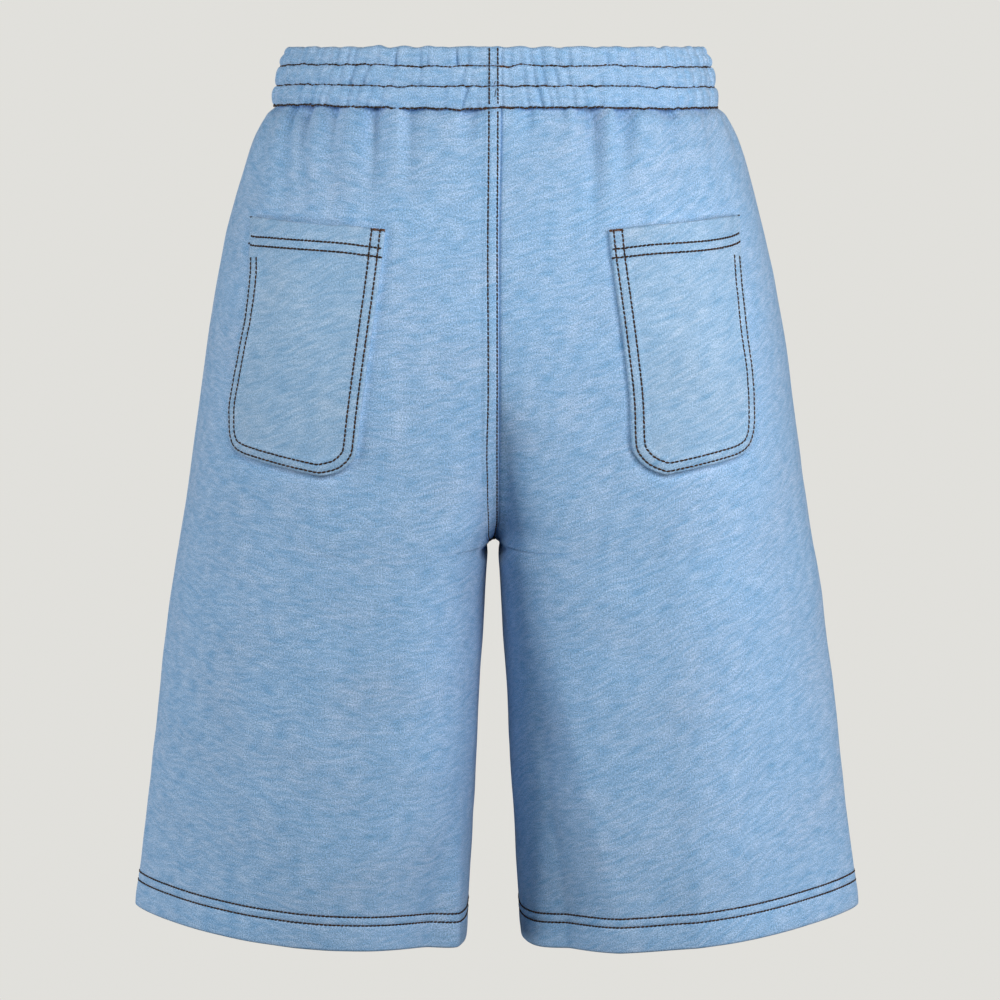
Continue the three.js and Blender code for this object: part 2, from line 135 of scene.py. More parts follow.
def resample(points, count):
    """Points at equal spacing along a line of any dimension, and its length."""
    cum = np.concatenate([[0], np.cumsum(np.linalg.norm(np.diff(points, axis=0), axis=1))])
    t = np.linspace(0, cum[-1], count)
    return np.stack([np.interp(t, cum, points[:, k]) for k in range(points.shape[1])], 1), cum[-1]


class Face:
    """Surface of the back or front of the left half, by reach and drop."""

    STEP = 0.5
    LOW = 30.0
    SHARES = 801

    def __init__(self, face):
        self.face = face
        self.sign = 1 if face == "back" else -1
        drops = np.arange(self.LOW, 606, self.STEP)
        out = self.sign
        depth = (out * AT[face](drops))[:, None]
        power = (2 / AT["squareB" if face == "back" else "squareF"](drops))[:, None]
        side, full, flow, inner, side_y = (AT[k](drops)[:, None] for k in ("side", "full", "flow", "inner", "sideY"))
        pull = inner - flow

        round_in = 2 / AT["squareI"](drops)[:, None]

        def across(a):
            u = np.sin(a) ** round_in
            return full - (full - flow) * u + pull * u ** SEAM_PULL

        low, start = np.zeros_like(full), np.full_like(full, math.pi / 2)
        for _ in range(40):
            middle = (low + start) / 2
            past = across(middle) > 0
            low = np.where(past, middle, low)
            start = np.where((inner < 0) & ~past, middle, start)
            low = np.where(inner < 0, low, 0)
        a = start * (1 - np.linspace(0, 1, 320)[None, :])
        b = (math.pi / 2) * step(np.linspace(0, 1, 320)[None, 1:])
        x = np.concatenate([across(a), full + (side - full) * np.sin(b) ** power], 1)
        y = np.concatenate([INSEAM_Y + (depth - INSEAM_Y) * np.maximum(np.cos(a), 0) ** round_in,
                            side_y + (depth - side_y) * np.maximum(np.cos(b), 0) ** power], 1)
        x[:, 0] = np.maximum(inner[:, 0], 0)
        # how far along the cloth the face stands furthest out, less its own distance from
        # the middle: the same on both sides of the crotch's drop
        inner_arc = np.hypot(np.diff(x[:, :320], axis=1), np.diff(y[:, :320], axis=1)).sum(1)
        self.offset = inner_arc - full[:, 0]
        xy = np.empty((len(drops), self.SHARES, 2))
        self.length = np.empty(len(drops))
        for k in range(len(drops)):
            xy[k], self.length[k] = resample(np.stack([x[k], y[k]], 1), self.SHARES)
        self.drops = drops
        self.point = np.concatenate([xy, np.broadcast_to((TOP - drops)[:, None, None], xy.shape[:2] + (1,))], 2)
        du = np.gradient(self.point, axis=1)
        reach = np.linspace(0, 1, self.SHARES)[None, :] * self.length[:, None]
        normal = unit(np.cross(du, self._downwards(reach - self.offset[:, None])))
        if normal[200, 400, 1] * out < 0:
            normal = -normal
        # at a seam the cloth's direction out lies in the seam's own plane
        near0 = 1 - step(reach / 7)
        near1 = 1 - step((self.length[:, None] - reach) / 7)
        above = (drops < CROTCH_DROP)[:, None]
        normal[..., 0] *= np.where(above, 1 - near0, 1)
        normal[..., 1] *= np.where(above, 1, 1 - near0) * (1 - near1)
        self.normal = unit(normal)

    def _downwards(self, place):
        """How each point moves as the drop grows, the place across being kept."""
        rows, last = len(self.drops), self.SHARES - 1
        found = []
        for move in (-1, 1):
            other = np.clip(np.arange(rows) + move, 0, rows - 1)
            share = (place + self.offset[other][:, None]) / self.length[other][:, None]
            s = np.clip(share, 0, 1) * last
            i = np.minimum(s.astype(int), last - 1)
            f = (s - i)[..., None]
            at = mix(self.point[other[:, None], i], self.point[other[:, None], i + 1], f)
            found.append((at, ((share >= 0) & (share <= 1))[..., None]))
        (before, ok0), (after, ok1) = found
        one_sided = np.where(ok1, after - self.point, self.point - before)
        return np.where(ok0 & ok1, (after - before) / 2, one_sided)

    def _cell(self, reach, drop):
        """Where to read the tables: the level above and the one below, at the same place."""
        d = np.clip((drop - self.LOW) / self.STEP, 0, len(self.drops) - 1.001)
        j = d.astype(int)
        fd = d - j
        place = reach - mix(self.offset[j], self.offset[j + 1], fd)
        levels = []
        for k in (j, j + 1):
            s = np.clip((place + self.offset[k]) / self.length[k], 0, 1) * (self.SHARES - 1)
            i = np.minimum(s.astype(int), self.SHARES - 2)
            levels.append((k, i, (s - i)[..., None]))
        return fd[..., None], levels

    def _read(self, table, cell):
        fd, levels = cell
        upper, lower = [mix(table[k, i], table[k, i + 1], f) for k, i, f in levels]
        return mix(upper, lower, fd)

    def reach_all(self, drop):
        return np.interp(drop, self.drops, self.length)

    def place(self, reach, drop):
        """Place across the cloth, in mm out from the middle plane, that runs on smoothly
        from the hips into the leg."""
        return reach - np.interp(drop, self.drops, self.offset)

    def at(self, reach, drop):
        """Point and direction out, in mm, of the left half."""
        cell = self._cell(np.asarray(reach, float), np.asarray(drop, float))
        return self._read(self.point, cell), unit(self._read(self.normal, cell))


FACES = {"back": Face("back"), "front": Face("front")}


def hem_drop(face, share):
    """Drop of the hem's edge at a share of the way from inseam to side seam."""
    share = np.asarray(share, float)
    drop = np.full_like(share, HEM_DROP)
    for _ in range(4):
        p, _n = FACES[face].at(share * FACES[face].reach_all(drop), drop)
        drop = HEM_DROP + HEM_TILT * (LEG_MIDDLE - p[..., 0]) + 1.4 * np.sin(math.pi * share)
    return drop


def seam_share(face):
    """Drop at which a share of the centre seam's length, from the panel's top, is used up."""
    drops = PANEL_TOP + (CROTCH_DROP - PANEL_TOP) * (1 - (1 - np.linspace(0, 1, 401)) ** 2)
    p, _n = FACES[face].at(np.zeros(401), drops)
    cum = np.concatenate([[0], np.cumsum(np.hypot(np.diff(drops), np.diff(p[:, 1])))])
    return Curve(cum / cum[-1], drops)


SEAM_DROP = {face: seam_share(face) for face in FACES}

# ------------------------------------------------------------------ folds and gathers
# Soft folds that run down from the gathered waist, as in the CAD part. at: reach at the
# seam. to: drop where it has died out. lean: sideways run of its end. half: half width.
FOLDS = {
    "back_left": [
        [17, 70, 0, 9, 1.3], [51, 98, 1, 10, 1.7], [79, 104, -13, 10, 2.1],
        [108, 100, 3, 10, 1.3], [136, 116, 5, 11, 1.9], [172, 112, 8, 10, 1.8]],
    "back_right": [
        [30, 82, -2, 9, 1.2], [61, 106, 2, 10, 1.9], [88, 74, 0, 9, 1.5],
        [118, 112, 6, 11, 1.7], [154, 116, 7, 10, 1.9], [188, 96, 5, 9, 1.4]],
    "front_left": [
        [22, 92, 2, 10, 1.6], [58, 110, 6, 11, 2.0], [95, 84, 1, 10, 1.5],
        [131, 118, 8, 11, 1.9], [170, 98, 5, 10, 1.6]],
    "front_right": [
        [26, 108, 4, 11, 1.9], [63, 86, 1, 10, 1.5], [101, 116, 7, 11, 2.0],
        [140, 92, 3, 10, 1.6], [174, 110, 7, 10, 1.7]],
}

# Fine puckers under the lowest row: reach, length, lean, half width, depth. The first
# of the back are listed, and seeded ones fill the rest.
PUCKERS = {
    "back_left": [
        [16.5, 24, 0.0, 2.6, 0.9], [22.5, 15, 0.4, 1.8, 0.45], [31, 30, -1, 3.0, 0.4], [39, 18, 0, 2.2, 0.4],
        [48, 34, 1, 3.2, 0.55], [57, 20, -2, 2.4, 0.5], [66, 26, -5, 2.8, 0.6], [74, 34, -8, 3.2, 0.7],
        [83, 20, -5, 2.4, 0.6], [91, 28, -4, 2.8, 0.6], [99, 18, -2, 2.2, 0.5], [107, 30, -1, 2.8, 0.6],
        [115, 16, 0, 2.0, 0.5], [122, 26, 1, 2.4, 0.55], [130, 34, 2, 2.8, 0.7], [138, 18, 2, 2.0, 0.5],
        [146, 28, 3, 2.4, 0.6], [155, 22, 3, 2.0, 0.55], [163, 32, 4, 2.4, 0.6], [171, 24, 4, 2.2, 0.6],
        [180, 34, 5, 2.6, 0.6], [188, 22, 4, 2.0, 0.5]],
    "back_right": [
        [12, 18, 0, 2.2, 0.4], [19, 28, -1, 2.6, 0.5], [27, 20, 1, 2.2, 0.45], [34, 32, 2, 3.0, 0.5],
        [43, 22, 3, 2.4, 0.5], [52, 16, 2, 2.0, 0.4], [60, 40, 2, 3.2, 0.7], [70, 20, 3, 2.2, 0.5],
        [79, 26, 2, 2.6, 0.5], [87, 24, 0, 2.6, 0.8], [96, 16, 1, 2.0, 0.45], [104, 30, 2, 2.6, 0.6],
        [113, 20, 3, 2.2, 0.5], [121, 34, 5, 2.8, 0.6], [130, 18, 3, 2.0, 0.5], [139, 28, 4, 2.4, 0.55],
        [148, 36, 6, 2.8, 0.65], [158, 22, 4, 2.2, 0.5], [167, 30, 5, 2.4, 0.6], [177, 26, 5, 2.2, 0.55],
        [187, 30, 5, 2.4, 0.5]],
}

# Sharper creases (and, with a minus, the ridges beside them) between the soft folds:
# reach and drop at the top, reach and drop where it has died out, half width, depth.
CREASES = {
    "back_left": [[79.5, 40, 76.8, 128, 4.2, 2.3], [62.6, 40, 61.8, 112, 4.6, -1.3], [55.3, 40, 54.2, 112, 4.2, 1.4],
                  [20, 38, 19.5, 78, 4.2, 1.3], [108.5, 40, 104.5, 132, 5.4, 2.0], [92, 46, 90, 132, 5.2, -1.0],
                  [131.5, 40, 123.5, 118, 4.6, 2.3], [147, 40, 141, 126, 4.4, 1.9], [37, 40, 36, 84, 5.0, 0.8]],
    "back_right": [[62.4, 40, 61, 134, 4.2, 2.1], [53.2, 40, 52.4, 88, 4.0, 1.2], [71.4, 40, 70, 128, 4.6, -1.2],
                   [82.4, 38, 80.3, 92, 3.8, 2.1], [93.4, 40, 90.8, 104, 5.0, -1.2], [117.5, 40, 112.5, 96, 5.0, 1.2],
                   [40.4, 38, 40, 70, 4.0, 1.2], [17.8, 38, 17.7, 66, 4.6, 1.3], [140, 40, 134, 84, 4.4, 0.9]],
    "front_left": [[34, 40, 33, 96, 4.4, 1.5], [70, 40, 68, 124, 4.6, 2.0], [80, 40, 78, 110, 4.8, -1.1],
                   [112, 40, 108, 84, 4.2, 1.3], [146, 40, 139, 100, 4.6, 1.2]],
    "front_right": [[16, 38, 16, 70, 4.2, 1.2], [47, 40, 46, 118, 4.4, 1.9], [57, 40, 56, 104, 4.8, -1.0],
                    [90, 40, 87, 92, 4.2, 1.5], [128, 40, 122, 108, 4.8, 1.3]],
}

# Long soft troughs (and, with a minus, ridges) of the legs. place: mm out from the middle
# plane at the top and at the bottom. from, to: drops. half: half width. depth.
LEG_TROUGHS = {
    "back_left": [[93, 255, 93, 560, 15, 0.9], [118, 430, 130, 600, 22, 1.0], [163, 250, 163, 600, 18, -1.0],
                  [60, 440, 52, 590, 20, 0.8]],
    "back_right": [[106, 280, 112, 600, 18, 0.8], [152, 240, 160, 600, 20, -1.2]],
    "front_left": [[112, 300, 120, 590, 24, 1.1], [60, 330, 66, 600, 20, 0.7]],
    "front_right": [[128, 300, 120, 590, 24, 0.9], [70, 360, 60, 600, 20, 0.8]],
}
# Flat facets between a soft crease and the turn of the leg: place and drop of the crease's
# top and bottom, width of the facet at both, depth of its middle.
FACETS = {
    "back_left": [],
    "back_right": [[26, 345, 80, 552, 24, 64, 15.0]],
    "front_left": [[30, 380, 66, 552, 26, 50, 5.0]],
    "front_right": [],
}

# Rows of the casing, by arc along the band from the centre back (positive towards the
# wearer's left): how low each row runs.
BAND_ROWS = [
    [[-390, 12.8], [-330, 12.4], [-270, 13.1], [-220, 12.6], [-174, 13.3], [-139, 13.2], [-115, 13.2], [-96, 13.0],
     [-80, 12.2], [-72, 12.2], [-56, 12.8], [-34, 12.6], [-24, 11.9], [-14, 11.9], [-8, 13.1], [3.5, 12.6], [15, 12.4],
     [25, 12.9], [50, 12.9], [63, 12.6], [76, 11.6], [96, 11.8], [117, 11.8], [137, 11.5], [180, 12.6], [240, 13.0],
     [300, 12.4], [350, 12.9], [390, 12.8]],
    [[-390, 25.4], [-320, 25.9], [-250, 25.2], [-176, 26.2], [-160, 25.8], [-141, 25.8], [-135, 26.4], [-113, 25.7],
     [-107, 26.3], [-90, 25.2], [-66, 25.1], [3.5, 25.1], [41, 25.3], [54, 25.0], [61, 25.7], [70, 25.4], [80, 24.7],
     [94, 24.6], [104, 24.3], [141, 24.2], [167, 25.0], [230, 25.6], [300, 25.0], [350, 25.6], [390, 25.4]],
    [[-390, 38.6], [-330, 38.9], [-260, 38.4], [-182, 39.0], [-171, 39.0], [-138, 39.0], [-111, 39.4], [-105, 39.2],
     [-88, 38.9], [-65, 38.3], [3.2, 38.4], [9.5, 39.0], [22, 39.5], [39, 38.8], [48, 38.8], [60, 39.0], [69, 38.1],
     [83, 38.1], [102, 37.8], [113, 37.0], [145, 37.0], [165, 37.5], [220, 38.3], [300, 38.9], [350, 38.4], [390, 38.6]],
]

# Gathers of each channel seen from behind: arc at mid height, slant (arc run from the
# lower row to the upper one), half width, depth.
BAND_GATHERS = [
    [[143, -3, 2.2, 0.6], [136, -3, 2.0, 0.6], [127, -3, 2.0, 0.5], [119, -4, 1.7, 0.9], [111.4, -4, 1.5, 0.8],
     [105, -4, 1.5, 0.9], [97, -4, 1.5, 0.8], [92, -4, 1.4, 0.8], [84, -3, 1.8, 0.5], [75.5, -2.5, 1.7, 0.9],
     [63.8, -2, 1.7, 1.5], [55, -1, 2.0, 0.35], [47.5, -1, 1.7, 0.8], [42.9, -1, 1.5, 0.6], [34, 0.5, 2.2, 0.35],
     [25.3, 1.5, 1.5, 1.4], [17.3, 0.5, 1.6, 0.7], [10, 0, 1.6, 0.4], [-9.5, 0.5, 1.8, 0.5], [-15, 1, 1.6, 0.35],
     [-21.6, 1.5, 1.8, 0.8], [-28.8, 2, 1.6, 0.6], [-37.8, 2, 1.7, 0.7], [-46.2, 2, 1.7, 0.7], [-54, 1, 2.2, 0.35],
     [-62, 1, 2.0, 0.4], [-71.3, 1.5, 1.7, 0.8], [-78.9, 1.5, 1.7, 0.7], [-90.3, 1, 1.7, 1.3], [-97, 1, 1.5, 0.7],
     [-104, 1, 1.5, 0.7], [-111.4, 1, 1.5, 0.7], [-118.2, 1, 1.5, 0.7], [-127, 1, 1.6, 0.6], [-136, 1, 1.6, 0.7],
     [-143, 1, 1.6, 0.7]],
    [[166.7, -3, 1.8, 0.8], [159, -3, 1.6, 0.6], [151.6, -3, 1.7, 0.8], [143, -3, 1.7, 0.5], [134, -3, 1.7, 0.6],
     [126, -3, 1.6, 0.5], [118, -3, 1.4, 0.8], [113.7, -3, 1.3, 0.6], [110, -3, 1.3, 0.7], [101.7, -3, 1.6, 0.8],
     [93.4, -3.5, 1.6, 1.2], [83.3, -4, 1.7, 1.3], [75, -3, 2.0, 0.4], [65.1, -2, 1.7, 0.7], [56, -1.5, 2.0, 0.35],
     [47.5, -1.5, 1.7, 0.7], [38, -1, 2.4, 0.3], [29, -1, 2.0, 0.3], [20.2, -2.5, 1.6, 0.9], [14.6, -2, 1.5, 0.5],
     [-8.5, 1, 1.7, 0.5], [-17.8, 1.5, 1.6, 0.7], [-23.9, 2, 1.5, 0.6], [-29.7, 2, 1.5, 0.7], [-37.8, 3, 1.6, 0.9],
     [-45.5, 2, 1.7, 0.7], [-55, 1, 2.2, 0.3], [-66, 1, 2.0, 0.4], [-76, 1, 1.9, 0.4], [-84, 1, 1.7, 0.5],
     [-92, 1, 1.6, 0.6], [-101, 0.5, 1.7, 0.6], [-108, 1, 1.5, 0.7], [-117, 1, 1.6, 0.5], [-125, 1, 1.6, 0.6],
     [-133, 1, 1.6, 0.6], [-142, 1, 1.6, 0.5], [-152, 1, 1.6, 0.6]],
    [[165, -3, 1.8, 0.6], [158, -3, 1.6, 0.9], [151.6, -3, 1.6, 0.8], [143, -3, 1.6, 0.5], [134.6, -3, 1.7, 1.1],
     [127, -3, 1.6, 0.6], [122, -3, 1.5, 0.8], [115.9, -3, 1.5, 0.7], [110, -3, 1.4, 0.7], [102, -3, 1.7, 0.5],
     [94.2, -3, 1.5, 0.8], [87.6, -3, 1.5, 0.7], [80.1, -3, 1.5, 0.7], [71.9, -2.5, 1.6, 0.6], [62, -2, 2.0, 0.35],
     [53, -1, 2.2, 0.3], [43, -1, 2.0, 0.35], [31.7, -1, 1.8, 0.6], [19.4, -4, 1.5, 1.5], [11, 0, 1.7, 0.4],
     [-10, 1, 1.8, 0.4], [-19.4, 1.5, 1.6, 0.8], [-27.2, 3, 1.5, 1.2], [-33.5, 2, 1.5, 0.7], [-37.4, 2, 1.4, 0.6],
     [-47.9, 2, 1.6, 0.7], [-55, 2, 1.6, 0.7], [-64, 1, 2.0, 0.4], [-73, 1, 1.8, 0.5], [-81, 1, 1.7, 0.4],
     [-90, 1, 1.7, 0.6], [-98, 1, 1.7, 0.5], [-107, 1, 1.6, 0.7], [-116, 1, 1.6, 0.5], [-124, 1, 1.6, 0.6],
     [-133, 1, 1.6, 0.6], [-142, 1, 1.6, 0.5], [-151, 1, 1.6, 0.6], [-161, 1, 1.7, 0.5]],
]
TOP_SCALLOPS = [[75, 0.7], [69, -0.7], [63.4, 0.5], [50.3, -0.5], [42.5, 0.3], [30, -0.5], [-0.3, 0.3], [-7, -0.9],
                [-13.7, 0.3], [-26, -0.8], [-38, 0.0], [-41.8, -0.7], [-48.4, 0.1], [-66, -0.3], [-90, -0.5],
                [-111, -0.3], [92, -0.3], [105, -0.4], [119, -0.3]]

# Sideways place of the centre seam and, below the crotch, of the gap between the legs.
SEAM_X = {"back": Curve([30, 60, 130, 230, 304, 326, 600], [-3.7, -3.4, -2.4, -2.3, -2.2, 1.7, 1.7]),
          "front": Curve([30, 290, 326, 600], [0.0, 0.0, 1.7, 1.7])}
ROW_NEAR = Curve([30, 60, 140, 318], [2.1, 1.9, 1.3, 1.3])       # reach of the two rows beside the
ROW_FAR = Curve([30, 60, 140, 318], [7.5, 7.3, 7.0, 6.8])        # centre seam, on the left panel

HEM_ROWS = (23.0, 17.3)          # height of the hem's rows over its edge

# Edges of the patch pockets, from the open top edge to the lower edge: reach and drop
# of the end nearest the centre seam, then of the other end.
POCKETS = {
    "left": [
        [67.9, 113.6, 170.0, 107.3], [70.0, 131.0, 167.0, 125.0],
        [72.8, 152.0, 165.4, 146.8], [76.5, 177.0, 167.5, 167.0],
        [80.6, 203.6, 171.3, 187.0], [84.4, 227.0, 175.7, 207.0],
        [87.8, 246.0, 180.8, 227.0], [89.6, 253.0, 181.0, 240.0],
        [94.1, 259.0, 178.8, 248.5], [101.7, 264.2, 174.5, 253.8],
        [113.6, 267.2, 165.9, 257.0]],
    "right": [
        [69.8, 114.0, 169.0, 106.3], [71.4, 129.0, 167.2, 124.0],
        [74.6, 151.7, 166.0, 142.5], [77.6, 172.0, 166.8, 162.0],
        [81.3, 198.0, 169.0, 184.0], [84.2, 220.4, 172.3, 206.0],
        [86.1, 241.5, 174.1, 230.0], [87.6, 249.5, 173.4, 241.0],
        [91.9, 256.0, 170.3, 249.0], [99.1, 261.8, 165.5, 253.6],
        [110.4, 266.2, 156.9, 257.0]],
}
# Upper row of each pocket's hem, from the inner edge to the outer one; the lower row
# is POCKET_HEM_GAP further down.
POCKET_HEMS = {
    "left": [[66, 126.2], [76, 124.9], [96, 123.0], [120, 121.8], [150, 120.6], [163, 120.2], [168, 118.4], [172, 116]],
    "right": [[66, 126.6], [84, 125.2], [97, 124.2], [130, 122.8], [150, 120.8], [162, 118.8], [168, 116.8], [172, 115]],
}
POCKET_HEM_GAP = 5.4
POCKET_ROWS = (2.9, 8.1)         # distance of its two rows from the pocket's edge

# How much the knit's courses run down per mm, by place across: the cut is a little
# skewed and each panel's courses bow round the leg.
COURSE_SLOPE = {
    "back_left": Curve([-60, -13, 27, 92, 142, 202, 290], [0.02, 0.06, 0.18, -0.06, -0.10, -0.04, 0.0]),
    "back_right": Curve([-60, -13, 27, 72, 120, 167, 222, 290], [-0.42, -0.40, -0.22, -0.37, -0.50, -0.45, -0.24, -0.15]),
    "front_left": Curve([-60, 22, 102, 182, 290], [-0.10, -0.16, 0.04, 0.12, 0.10]),
    "front_right": Curve([-60, 22, 102, 182, 290], [0.12, 0.05, 0.15, 0.20, 0.10]),
}


class Waves:
    """Smooth unevenness of a given size, by place, the same on every run."""

    def __init__(self, seed, count, low, high, rms):
        rng = np.random.default_rng(seed)
        wave = rng.uniform(low, high, count)
        self.k = unit(rng.normal(size=(count, 3))) * (2 * math.pi / wave)[:, None]
        self.phase = rng.uniform(0, 2 * math.pi, count)
        a = wave / wave.mean()
        self.a = a * rms * math.sqrt(2 / np.square(a).sum())

    def __call__(self, p):
        shape = p.shape[:-1]
        q = p.reshape(-1, 3)
        out = np.empty(len(q))
        for i in range(0, len(q), 20000):
            out[i:i + 20000] = np.cos(q[i:i + 20000] @ self.k.T + self.phase) @ self.a
        return out.reshape(shape)


class Line:
    """Smooth seeded unevenness along one length."""

    def __init__(self, seed, low, high, count=24):
        rng = np.random.default_rng(seed)
        wave = rng.uniform(low, high, count)
        self.k, self.phase = 2 * math.pi / wave, rng.uniform(0, 2 * math.pi, count)
        self.a = math.sqrt(2 / count)

    def __call__(self, s):
        s = np.asarray(s, float)
        return np.cos(s[..., None] * self.k + self.phase).sum(-1) * self.a


LUMPS = Waves(11, 22, 55, 170, 0.45)
SMALL_LUMPS = Waves(12, 26, 22, 48, 0.10)
HALF_RING = 390.0
RING_ROWS = [Curve(*np.array(rows).T) for rows in BAND_ROWS]
ROW_WOBBLE = [Line(21 + k, 6, 26) for k in range(3)]


def ring_row(k, p):
    """Drop of one of the casing's rows at an arc place of the band."""
    p = (np.asarray(p, float) + HALF_RING) % (2 * HALF_RING) - HALF_RING
    return RING_ROWS[k](p) + 0.16 * ROW_WOBBLE[k](p)


def seeded_puckers(node):
    rng = np.random.default_rng({"front_left": 31, "front_right": 32}[node])
    at, rows = 9.0, []
    while at < 192:
        rows.append([at, rng.uniform(12, 38), rng.uniform(-2, 4) * at / 190, rng.uniform(1.9, 3.2), rng.uniform(0.35, 0.8)])
        at += rng.uniform(6, 11)
    return rows


for _node in ("front_left", "front_right"):
    PUCKERS[_node] = seeded_puckers(_node)


POCKET_GUTTERS = {}              # by panel: the line just outside its pocket's edge


def gutter(node, reach, drop):
    """The panel is drawn in a little beside a pocket's sewn edge, most at its foot."""
    path = POCKET_GUTTERS[node]
    (r0, d0), (r1, d1) = path.min(0) - 9, path.max(0) + 9
    near = (reach > r0) & (reach < r1) & (drop > d0) & (drop < d1)
    out = np.zeros_like(reach)
    q = np.stack([reach[near], drop[near]], -1)
    far = np.empty(len(q))
    for i in range(0, len(q), 3000):
        far[i:i + 3000] = np.sqrt(((q[i:i + 3000, None, :] - path[None, ::2]) ** 2).sum(-1).min(1))
    foot = step((q[:, 1] - (d1 - 60)) / 40)
    out[near] = (0.9 + 0.5 * foot) * bell(far / 1.7) + 0.7 * foot * bell(far / 5)
    return out


def relief(node, reach, drop, point, length, facing):
    """How far a panel's cloth stands out from its smooth form."""
    face, side = node.split("_")
    back = face == "back"
    # folds and puckers from the gathered waist
    out = np.zeros_like(reach)
    for at, to, lean, half, depth in FOLDS[node]:
        t = np.clip((drop - PANEL_TOP) / (to - PANEL_TOP), 0, 1)
        out -= 1.5 * depth * (1 - t) ** 1.2 * bell((reach - at - lean * t) / half)
    for at0, top, at1, to, half, depth in CREASES[node]:
        t = np.clip((drop - top) / (to - top), 0, 1)
        out -= 1.7 * depth * (1 - t ** 1.6) ** 1.3 * bell((reach - mix(at0, at1, t)) / (half * (1 + 0.5 * t)))
    top_length = FACES[face].reach_all(PANEL_TOP)
    arc = reach / top_length * (HALF_RING / 2)
    if not back:
        arc = HALF_RING - arc
    if side == "right":
        arc = -arc
    below = drop - ring_row(2, arc)
    for at, run, lean, half, depth in PUCKERS[node]:
        t = np.clip(below / run, 0, 1)
        out -= 1.7 * depth * (1 - t) ** 1.3 * bell((reach - at - lean * t) / (half * (1 + 0.8 * t)))
    edge = step(reach / 10) * step((length - reach) / 8)
    out *= edge
    place = FACES[face].place(reach, drop)
    for at0, top, at1, bottom, half, depth in LEG_TROUGHS[node]:
        t = (drop - top) / (bottom - top)
        out -= depth * step(t * 3) * bell((place - mix(at0, at1, np.clip(t, 0, 1))) / half)
    for at0, top, at1, bottom, wide0, wide1, depth in FACETS[node]:
        t = np.clip((drop - top) / (bottom - top), 0, 1)
        wide = mix(wide0, wide1, t)
        s = (mix(at0, at1, t) - place) / wide          # 0 at the crease, 1 at the turn
        sink = np.clip(s / 0.8, 0, 1)
        sink = np.sqrt(sink ** 2 + 0.004) - math.sqrt(0.004)
        sink = np.where(sink > 0.8, 0.8 + 0.2 * np.tanh((sink - 0.8) / 0.2), sink)
        # the whole inner side of the leg stands further in, so only its facing part moves
        out -= depth * mix(0.6, 1.1, t) * step(t * 2.5) * sink * np.clip(np.abs(facing), 0, 1) * step((length - reach) / 8)
    if node == "back_left":
        out -= 11.0 * step((drop - 430) / 150) ** 2 * step(place / 20) * (1 - step((place - 30) / 85))
    if side == "right":
        out += 2.0 * step((drop - 300) / 60) * (1 - step((length - reach) / 70))
    if back:
        deep = step((drop - 205) / 55) * step((CROTCH_DROP + 14 - drop) / 26)
        out -= 5.5 * deep * np.exp(-(np.abs(point[..., 0]) / (16.0 if side == "left" else 15.0)) ** 1.4) * step((point[..., 1] - 8) / 40)
        out -= 5.0 * step((drop - 455) / 125) ** 2 * step(place / 30) * step((205 - place) / 70)
    # the legs part at once under the crotch
    out -= 2.2 * step((drop - CROTCH_DROP - 0.2) / 2.6) * (1 - step((drop - CROTCH_DROP - 3) / 10)) * (1 - step((np.abs(point[..., 0]) - 3) / 5))
    if node in POCKET_GUTTERS:
        out -= gutter(node, reach, drop)
    # uneven cloth, dying out towards the crotch
    calm = step(np.linalg.norm(point * [1, 0.6, 1] - [0, 0, TOP - CROTCH_DROP], axis=-1) / 70)
    out += calm * (LUMPS(point) + SMALL_LUMPS(point))
    # the panel's top edge is caught under the lowest row of the casing
    out += np.where(below < 0, -1.5 + 1.1 * below, -1.5 * np.exp(-np.maximum(below, 0) / 1.7))
    out += 0.35 * bell((below - 4.5) / 3)
    # centre seam: the allowance is pressed under the left panel and sewn down
    above = step((CROTCH_DROP + 1 - drop) / 5)
    fade = 1 - above
    if side == "left":
        under = 0.85 * (1 - step((reach - 8.6) / 2.6)) - 2.1 * np.exp(-(reach / 0.8) ** 1.5)
        under -= 0.4 * bell((reach - ROW_NEAR(drop)) / 0.55) + 0.45 * bell((reach - ROW_FAR(drop)) / 0.7)
        under -= 0.3 * bell((reach - 10.6) / 1.2)
    else:
        under = -1.25 * np.exp(-(reach / 0.8) ** 1.5) - 0.35 * np.exp(-(reach / 4.0))
    out += above * under - fade * 0.7 * np.exp(-reach / 1.2)
    # the four panels meet in one point at the crotch
    out *= 1 - np.exp(-(np.linalg.norm(point - [0, 2.0, TOP - CROTCH_DROP], axis=-1) / 4.0) ** 2)
    # side seam
    out -= 1.0 * np.exp(-(np.maximum(length - reach, 0) / 1.3) ** 1.2)
    # turned hem with its two rows
    share = reach / length
    height = hem_drop(face, share) - drop
    out += np.where(height < 30, hem_relief(height, point), 0)
    return out


HEM_PUCKER = Waves(41, 20, 7, 16, 1.0)


def hem_relief(height, point):
    pucker = HEM_PUCKER(point)
    out = 0.42 * np.sin(math.pi * np.clip(height / HEM_ROWS[1], 0, 1)) ** 0.8
    out += 0.14 * np.sin(math.pi * np.clip((height - HEM_ROWS[1]) / (HEM_ROWS[0] - HEM_ROWS[1]), 0, 1))
    for row in HEM_ROWS:
        out -= (0.42 + 0.06 * pucker) * bell((height - row) / 0.75)
        out += 0.07 * pucker * bell((height - row) / 3.2)
    return out


def lean_point(face, side, p, drop):
    """Moves the middle of the garment a little sideways, as it hangs."""
    amount = mix(SEAM_X[face](drop), SEAM_X["back"](drop), step((drop - CROTCH_DROP + 12) / 11))
    reach = mix(34.0, 60.0, step((drop - 300) / 60))
    q = p.copy()
    q[..., 0] += amount * bell(q[..., 0] / reach)
    return q


